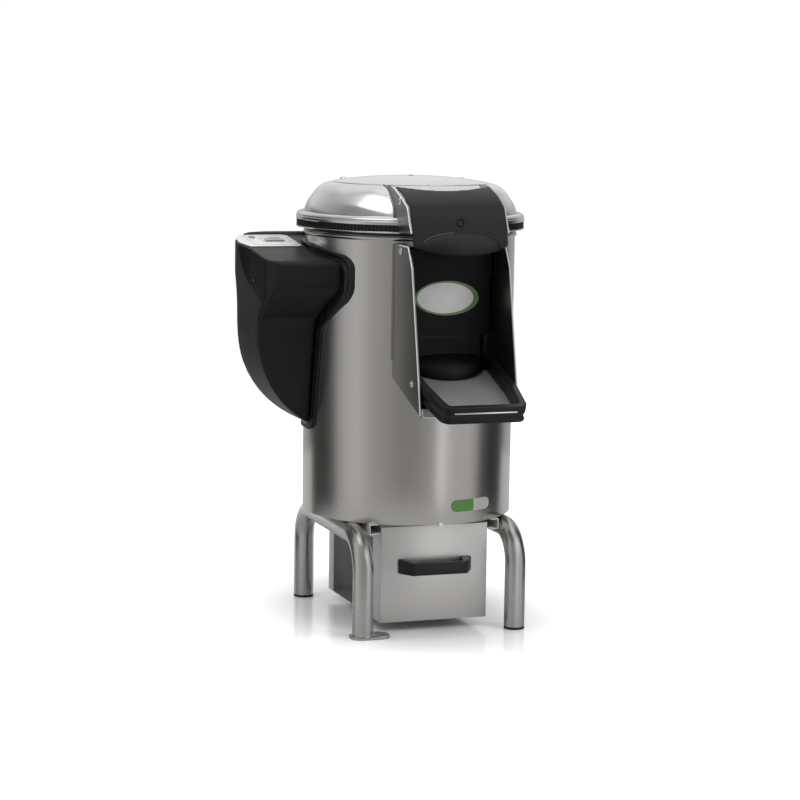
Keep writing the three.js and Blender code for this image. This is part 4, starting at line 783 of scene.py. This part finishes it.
piece("lid_hood_moulding", moulded(lid_hood(), 1.3, 5), hood_plastic, "lid", ["lid_hood"], 60)
# A thin lighter lip along the left part of the grip's upper edge: a painted highlight
arc = [(74 * math.cos(a), 698 + 8 * math.cos(a) ** 2 + 36 * math.sin(a))
       for a in (1.75 + 0.1 * k for k in range(12))]
lip = piped([(x, min(-270.4, -265.9 - (734 - z) * 0.234), z) for x, z in arc], 0.9, 4, 12)
piece("hood_grip_lip", lip, lip_plastic, "lid")
LEAN = rotation(74, "X")
ring = turned([(5.4, 0), (6.0, 0.8), (7.0, 0.8), (7.6, 0), (7.6, -3), (5.4, -3)], 40)
piece("hood_ring", moved(ring, Matrix.Translation((1.8, -260.8, 750.8)) @ LEAN), door_plastic, "lid")
for i, x in enumerate((-54, 52), 1):
    mark = turned([(3.0, 0), (3.4, 0.5), (4.0, 0.5), (4.4, 0), (4.4, -2), (3.0, -2)], 4)
    mark = moved(mark, Matrix.Translation((x, -266.4, 731)) @ LEAN @ rotation(45, "Z"))
    piece(f"hood_mark_{i}", mark, door_plastic, "lid")


# Hinge

HINGE_Y, HINGE_Z = 228, 739
LEAF_HALF, EAR_IN, EAR_OUT, PIN, KNUCKLE = 20, 20.3, 29.3, 5, 10


def hinge_bar(radius, x0, x1):
    return laid("x", rod(radius, x0, x1), 0, HINGE_Y, HINGE_Z)


def pin_hole():
    return hinge_bar(PIN + FIT, -60, 60)


ears = [across(side, EAR_IN, EAR_OUT, 218, 238, 690, HINGE_Z) for side, word in SIDES]
bracket = combined("UNION", block(-EAR_OUT, EAR_OUT, 150, 238, 690, 714), *ears,
                   hinge_bar(KNUCKLE, -EAR_OUT, -EAR_IN), hinge_bar(KNUCKLE, EAR_IN, EAR_OUT))
bracket = softened(cut(bracket, drum_bulk(), pin_hole()), 0.7, 2, 40)
piece("hinge_bracket_body", bracket, dull_steel, "machine", ["hinge_bracket"])
leaf = combined("UNION", block(-LEAF_HALF, LEAF_HALF, 150, HINGE_Y, 732, 746),
                hinge_bar(KNUCKLE, -LEAF_HALF, LEAF_HALF))
leaf = softened(cut(leaf, lid_bulk(), pin_hole()), 0.5, 2, 40)
piece("hinge_leaf_arm", leaf, dull_steel, "lid", ["lid_hinge_leaf"])
pin = merged(rod(PIN, -29.6, 29.6, 48, 0.6), rod(8, -32.6, -29.6, 48, 0.8))
piece("hinge_pin_bar", laid("x", pin, 0, HINGE_Y, HINGE_Z), bright_steel, "machine", ["lid_hinge_pin"])


# Chute, door and tray

CHUTE_HALF, CHUTE_FRONT, CHUTE_LOW, CHUTE_RISE = 88.7, -329, 419, 0.33693
TILT = rotation(18.5, "X")


def slope(y):
    """The chute floor's height at a distance from the drum's axis."""
    return CHUTE_LOW + (y - CHUTE_FRONT) * CHUTE_RISE


chute = [(CHUTE_BACK, slope(CHUTE_BACK)), (-325, slope(-325), 2), (-325, 433), (-327, 433), (-327, 417, 2),
         (CHUTE_BACK, slope(CHUTE_BACK) - 2)]
chute = softened(cut(plate(chute, "x", -CHUTE_HALF, CHUTE_HALF), drum_bulk()), 0.4, 1, 40)
piece("chute_floor_plate", chute, sheet_steel, "machine", ["chute_floor"])
lip = piped([(-88, -327.7, 432), (-88, -327.7, 417.8), (88, -327.7, 417.8), (88, -327.7, 432)], 0.9, 4, 12)
piece("chute_lip_hem", lip, hem_steel, "machine")
# The black seal rubber round the opening is partly painted shade: where it shows beside the door's narrow
# lower part it stands for the shade there
seal = common(tube(197.3, 195.3, 470, 700, 192), window(-9, 8))
seal = softened(cut(seal, window(FIT, 5)), 0.4, 1, 60)
piece("door_seal_frame", seal, gasket_rubber, "machine", ["door_frame_seal"])


def discharge_door():
    """A stepped plate hung on two ears, with a finger grip that is hollow behind."""
    face = [(-84, 704, 4), (-84, 545, 4), (-68, 545, 4), (-68, 485.5, 4), (68, 485.5, 4), (68, 545, 4),
            (84, 545, 4), (84, 704, 4)]
    below = moved(block(-195, 195, -188, 202, -485.5, 0), Matrix.Translation((0, -202, 485.5)) @ TILT)
    scoop = cut(lens(68, 44, 36, 18, 16, 2, -200, 489), block(-195, 195, -203.4, 0, 0, 724))
    lower = plate([(-66.8, 486, 4), (66.8, 486, 4), (66.8, 543, 3), (-66.8, 543, 3)], "y", -203.4, -199)
    body = combined("UNION", plate(face, "y", -202, -198), lower, lens(72, 48, 40, 10, 16, 2, -200, 489))
    ears = [across(side, CHUTE_HALF - 5, CHUTE_HALF, -220, -198, 652, PIVOT_Z) for side, word in SIDES]
    eyes = [laid("x", rod(9, x, x + 5), 0, PIVOT_Y, PIVOT_Z) for x in (-CHUTE_HALF, CHUTE_HALF - 5)]
    body = combined("UNION", cut(body, scoop, below), *ears, *eyes)
    return cut(body, laid("x", rod(4.3, -95, 95, 32), 0, PIVOT_Y, PIVOT_Z))


door = moulded(discharge_door(), 1.25, 3)
piece("door_moulding", door, door_plastic, "discharge_door", ["discharge_door"], 60)


def oval(half_width, half_height, front, back, x, z, edge):
    """An upright oval plate with a softened edge."""
    size = Matrix.Diagonal((half_width, half_height, 1, 1))
    shape = bmesh.new()
    bmesh.ops.create_circle(shape, cap_ends=True, segments=96, radius=1,
                            matrix=Matrix.Translation((x, back, z)) @ rotation(90, "X") @ size)
    return softened(thickened(shape, (0, front - back, 0)), edge, 3, 40)


border = oval(61, 31, -203.6, -201.6, 0, 613, 0.6)
piece("badge_border", border, badge_green, "discharge_door", ["door_badge"])
piece("badge_blank", oval(53.5, 27.5, -203.8, -202.4, -3.2, 613.4, 0.3), badge_white, "discharge_door")

ON_TRAY = Matrix.Translation((0, TRAY_Y, TRAY_Z)) @ TILT


def tray_plan(inset, front, rear, corner):
    """The tray's outline drawn in by a width: straight at the drum, bowed in towards its front."""
    tips = [(CHUTE_HALF, rear), (CHUTE_HALF, -26, 60), (84.5, -66, 60), (81, -98, 60), (76.5, -front, corner)]
    right = [(u - inset, *rest) for u, *rest in tips]
    return [(-u, *rest) for u, *rest in right] + right[::-1]


def tray_frame():
    """Two arms and a front bar, with a waist outside, a groove for the floor and a slot for the strip."""
    outer = plate(tray_plan(0, 132, 74, 17), "z", -15.5, 15.5, corner_rounds=8)
    inner = plate(tray_plan(13, 119.5, 90, 4), "z", -30, 30)
    groove = plate(tray_plan(7, 117, 80, 8), "z", -14.8, -12.2)
    waist = [cut(plate(tray_plan(-9, 145, 60, 7), "z", low, high),
                 plate(tray_plan(deep, 132 - deep, 90, 15), "z", -16, 16, corner_rounds=8))
             for low, high, deep in ((-13, 1.6, 0.8), (-11.4, -0.6, 1.6), (-9.8, -3, 2.3))]
    return cut(outer, inner, groove, *waist, block(-60, 60, -140, -129.8, 2.9, 7.1))


tray = moved(moulded(tray_frame(), 1.25, 4), ON_TRAY)
piece("tray_frame_moulding", tray, tray_plastic, "machine", ["tray_frame"], 60)
base = moved(plate(tray_plan(7.3, 116.7, 74, 8), "z", -14.5, -12.5, 0.5, 1, 8), ON_TRAY)
piece("tray_floor_plate", base, tray_steel, "machine", ["tray_floor"])
strip = moved(block(-58, 58, -132.8, -129.6, 3.5, 6.5, 0.9, 3), ON_TRAY)
piece("tray_strip_bar", strip, bright_steel, "machine", ["tray_strip"])


# Control box

BOX_FAR, BOX_NEAR, FLANGE_NEAR = -330, -97.5, -60


def control_box():
    """What three outlines share: seen from the left, from the front and from above."""
    side = [(-107, 674, 9), (-107, 620, 34), (-40, 560, 34), (-16, 366, 26), (120, 366, 26), (120, 556, 26),
            (150, 614, 26), (150, 712, 4), (120, 712, 2), (120, 706), (0, 692, 4)]
    left = curved((-195, 366), ((-262, 400.9), (-303, 466.9), (-303, 560), 20),
                  ((-304, 625), (-318, 630), (-320, 700), 12))
    front = [(BOX_NEAR, 364)] + left + [(-320, 730), (BOX_NEAR, 730)]
    above = [(BOX_NEAR, -107), (BOX_NEAR, 150), (-239, 150, 26), (-299.4, 113.2, 26), (-314.2, 81.4, 30),
             (-321, 40.6, 30), (-312.9, 8.1, 8), (-310.2, -9.4, 8), (-303, -107, 26)]
    whole = common(plate(side, "x", BOX_FAR, BOX_NEAR, corner_rounds=10), plate(front, "y", -120, 170),
                   plate(above, "z", 300, 760, corner_rounds=10))
    return cut(whole, drum_bulk(2.6))


def on_box_side(shape, z):
    """Sets a small turned shape on the box's left face."""
    return shifted(moved(shape, rotation(-90, "Y")), -309.6, -34.5, z)


piece("box_moulding", moulded(control_box(), 2.5, 3), box_plastic, "machine", ["control_box_cover"], 60)
hole = turned([(0, 0.1), (2.6, 0.1), (3.4, 0.5), (4.2, 0.1), (4.2, -3), (0, -3)], 32)
piece("box_side_hole", on_box_side(hole, 637), gasket_rubber, "machine")
screw = turned([(0, 0.9), (0.9, 0.6), (1.2, 0), (0, 0)], 24)
piece("box_side_screw", on_box_side(screw, 635), bright_steel, "machine")


def flange_side(g):
    """What lies inside the flange's outline drawn in by a width."""
    corners = [(-127 + g, 682 - g, 26), (-127 + g, 610, 44), (-60 + g, 548, 30), (-36 + g, 356 + g, 26),
               (116 - g, 356 + g, 26), (140 - g, 546, 26), (150 - g, 614, 36.4), (150 - g, 707 - g, 26),
               (-20, 700 - g, 26)]
    return plate(corners, "x", BOX_FAR, FLANGE_NEAR, corner_rounds=10)


def flange_band(reach, root, inset):
    """A band about the drum within the flange's outline."""
    return common(tube(reach, root, 326, 714.2, 192), flange_side(inset))


def box_flange():
    """The rubber band with a bead along its outer edge and a lower one beside the box."""
    beads = [cut(flange_band(reach, 195.6, outer), flange_side(inner))
             for outer, inner, reach in ((1, 5, 199.7), (11, 14.5, 198.8))]
    return combined("UNION", flange_band(197.4, 195.3, 0), *beads)


piece("flange_band", softened(box_flange(), 0.5, 2, 50), flange_rubber, "machine", ["control_box_flange"])


# Control panel

ON_PANEL = Matrix.Translation((-253, 60, 699)) @ rotation(6.654, "X")


def on_panel(shape, x=0, y=0):
    return moved(shape, ON_PANEL @ Matrix.Translation((x, y, 0)))


def key(half_width, half_height):
    return plate(rectangle(-half_width, half_width, -half_height, half_height, 3), "z", 3.1, 4.3, 0.5)


def thin_frame(x0, x1, y0, y1, wide):
    """A raised outline round a group of keys."""
    inside = rectangle(x0 + wide, x1 - wide, y0 + wide, y1 - wide, 3)
    return cut(plate(rectangle(x0, x1, y0, y1, 4), "z", 1.6, 2.05), plate(inside, "z", 1, 3))


panel = [(-64, -14.1, 30), (-55, -47.9, 4), (-52, -56.4, 2), (46, -56.4, 8), (46, 56.4, 14), (-46, 56.4, 14),
         (-58.6, 19.7, 30)]
piece("panel_sheet", on_panel(plate(panel, "z", 0.3, 1.8, 0.4)), panel_white, "machine", ["control_panel"])
frames = merged(thin_frame(-16, 36, -18, 27, 1.6), thin_frame(-40, 41, -44, 45, 1.2))
piece("panel_frames", on_panel(frames), frame_grey, "machine")
dial = merged(rod(6.2, 2.1, 4.0, 40, 0.5), block(-2, 2, -5.7, 5.7, 3.8, 5.1, 0.5))
for name, shape, x, y, node, slot in (("dial_cap", dial, -28, 26, "timer_knob", "black_plastic"),
                                      ("start_key", key(11, 6.5), 11, 15, "start_button", "green_plastic"),
                                      ("stop_key", key(18.5, 9.5), 7, -4, "stop_button", "red_plastic")):
    piece(name, on_panel(shape, x, y), key_grey, node, [node], slot=slot)

# The CAD shapes of the gland and of the drive under the drum stay, with fuller finishes
refinished(plug_rubber, "cable_gland", "shaft_seal", "drive_belt")
refinished(box_plastic, "switch_block")
refinished(dull_steel, "base_deck", "chamber_floor", "waste_pipe", "motor_stand")
refinished(bright_steel, "upper_bearing", "lower_bearing", "drive_shaft", "motor_shaft")
refinished(cast_iron, "bearing_housing", "driven_pulley", "motor_pulley")
refinished(motor_enamel, "motor_body")


# Floor, studio wall and lamps

def staged(name, shape, material):
    """A thing of the studio, not of the object."""
    made = standing(name, shape)
    made.data.materials.append(material)
    return made


def grey(level):
    return level, level, level


# The floor is white to the camera, with a painted shadow about the machine, and grey to all other light
NARROW = (1.5, 1, 1)
floor_white = Finish("floor_white", Roughness=0.16, IOR=1.45)
away = floor_white.vectors("DISTANCE", floor_white.place(NARROW), Vector(NARROW) * MIDDLE, 1)
# Painted shadow: to the camera the floor is darker within about 0.44 m of the machine, in an oval narrower
# across
near = floor_white.blend(floor_white.fading(away, 0.2, 0.44), grey(0.92), grey(1.45))
seen = floor_white.blend(floor_white.fading(away, 0.4, 1.3), near, grey(2.2))
floor_white.feed("Base Color", floor_white.blend(floor_white.on_path("Is Camera Ray"), grey(0.5), seen))
ground = bmesh.new()
bmesh.ops.create_grid(ground, x_segments=1, y_segments=1, size=3)
staged("floor", ground, floor_white.material)

# A glowing wall round the machine that only metal and gloss see: its tone by bearing from the
# camera's side, in degrees, at the drum's height, above it, and overhead
CAMERA = Vector((-1471.0, -4157.6, 997.8))
WALL_RADIUS, WALL_HEIGHT, WALL_LIFT = 0.62, 2.2, 0.002
WALL = ((-180, 0.42), (-150, 0.46), (-127, 0.42), (-116, 0.16), (-106, 0.06), (-88, 0.05), (-78, 0.12),
        (-69, 0.44), (-60, 0.56), (-50, 0.64), (-42, 0.56), (-34, 0.44), (-19, 0.37), (-6, 0.29), (8, 0.29),
        (18, 0.36), (26, 0.42), (33, 1.05), (40, 0.62), (50, 0.52), (60, 0.56), (70, 0.46), (79, 0.09),
        (94, 0.03), (108, 0.06), (118, 0.30), (127, 0.48), (150, 0.48), (180, 0.42))
SHOULDER = ((-180, 0.86), (-152, 0.78), (-128, 0.70), (-105, 0.50), (-85, 0.40), (-66, 0.26), (-20, 0.40),
            (120, 0.46), (150, 0.8), (180, 0.86))
CEILING = ((-180, 0.90), (-140, 0.88), (-108, 0.82), (-88, 0.60), (-72, 0.80), (0, 0.76), (120, 0.80),
           (180, 0.90))


def share(degrees):
    """A bearing from the camera's side as a share of the way round."""
    return 0.5 + degrees / 360


towards = Vector((CAMERA.x, CAMERA.y, 0)).normalized()
sideways = Vector((-towards.y, towards.x, 0))
wall_glow = Finish("studio_wall")
spot = wall_glow.vectors("SUBTRACT", wall_glow.place(), MIDDLE)
ahead, beside, height = (wall_glow.vectors("DOT_PRODUCT", spot, way, 1)
                         for way in (towards, sideways, (0, 0, 1)))
bearing = beside.maths("ARCTAN2", beside, ahead) / (2 * math.pi) + 0.5
low, middle, high = (wall_glow.ramp(bearing, *[(share(at), grey(tone)) for at, tone in table])
                     for table in (WALL, SHOULDER, CEILING))
fading, blend = wall_glow.fading, wall_glow.blend
tone = blend(fading(height, 0.80, 0.90), low, middle)
tone = blend(fading(height, 1.14, 1.38), tone, high)
# A bright patch with a slanting foot on the wall's left side, soft at every edge
softbox = fading(height + (bearing - 0.333) * 2.4, 1.2, 1.3) * fading(height, 1.84, 1.66)
softbox = softbox * fading(bearing, share(-74), share(-58)) * fading(bearing, share(-14), share(-22))
glow = wall_glow.node("ShaderNodeEmission", {}, {"Color": blend(softbox, tone, grey(2.0))})
# The wall is clear from outside, and its foot is clear on the side away from the camera
clear = wall_glow.node("ShaderNodeBsdfTransparent", {}, {})
outside = 1 - wall_glow.node("ShaderNodeNewGeometry", {}, {}, "Backfacing")
behind = (bearing < share(-115)) + (bearing > share(115))
gone = outside.maths("MAXIMUM", outside, behind * (height < 0.2))
shown = wall_glow.node("ShaderNodeMixShader", {}, {0: gone, 1: glow, 2: clear})
wall_glow.fill(wall_glow.output.inputs["Surface"], shown)
wall = bmesh.new()
halfway_up = MIDDLE + Vector((0, 0, WALL_HEIGHT / 2 + WALL_LIFT))
bmesh.ops.create_cone(wall, cap_ends=False, segments=96, radius1=WALL_RADIUS, radius2=WALL_RADIUS,
                      depth=WALL_HEIGHT, matrix=Matrix.Translation(halfway_up))
wall = staged("studio_wall", wall, wall_glow.material)
wall.visible_camera = wall.visible_diffuse = wall.visible_shadow = wall.visible_transmission = False

world = bpy.data.worlds.new("studio")
bpy.context.scene.world = world
world.use_nodes = True
sky = Nodes(world.node_tree)
eye_ray, gloss_ray, clear_ray = (sky.on_path(f"Is {kind} Ray")
                                 for kind in ("Camera", "Glossy", "Transmission"))
backdrop = eye_ray.maths("MAXIMUM", eye_ray, gloss_ray.maths("MAXIMUM", gloss_ray, clear_ray))
sky.fill(sky.tree.nodes["Background"].inputs["Color"], sky.blend(backdrop, grey(0.55), grey(1)))


def lamp(name, at, aim, size, power, seen_in_metal=False):
    """A soft square lamp at a point in the shapes' millimetres."""
    light = bpy.data.lights.new(name, "AREA")
    light.shape, light.size, light.energy = "SQUARE", size, power
    made = bpy.data.objects.new(name, light)
    at, aim = ON_FRAME @ Vector(at), ON_FRAME @ Vector(aim)
    made.matrix_world = Matrix.Translation(at) @ (at - aim).to_track_quat("Z", "Y").to_matrix().to_4x4()
    made.visible_glossy = seen_in_metal
    bpy.context.scene.collection.objects.link(made)


lamp("top_lamp", (-300, -500, 3600), (0, 0, 400), 2.6, 44)
lamp("right_lamp", (1500, -1900, 2300), (0, 0, 500), 1.4, 20, seen_in_metal=True)
lamp("left_lamp", (-1331, -247, 2514), (0, 0, 780), 1.3, 13)

# The camera's turn, dip and roll are in radians and its lens in millimetres
TURN, DIP, ROLL, LENS = 0.33694, 0.134156, 0.015078, 106.7085
forward = Vector((math.sin(TURN) * math.cos(DIP), math.cos(TURN) * math.cos(DIP), -math.sin(DIP)))
level = Vector((math.cos(TURN), -math.sin(TURN), 0))
upright = level.cross(forward)
right = level * math.cos(ROLL) + upright * math.sin(ROLL)
up = upright * math.cos(ROLL) - level * math.sin(ROLL)
view = bpy.data.cameras.new("camera")
view.sensor_width, view.lens = 36, LENS
eye = bpy.data.objects.new("camera", view)
eye.matrix_world = Matrix.Translation(ON_FRAME @ CAMERA) @ Matrix((right, up, -forward)).transposed().to_4x4()
bpy.context.scene.collection.objects.link(eye)
bpy.context.scene.camera = eye

bpy.context.scene.view_settings.view_transform = "Standard"
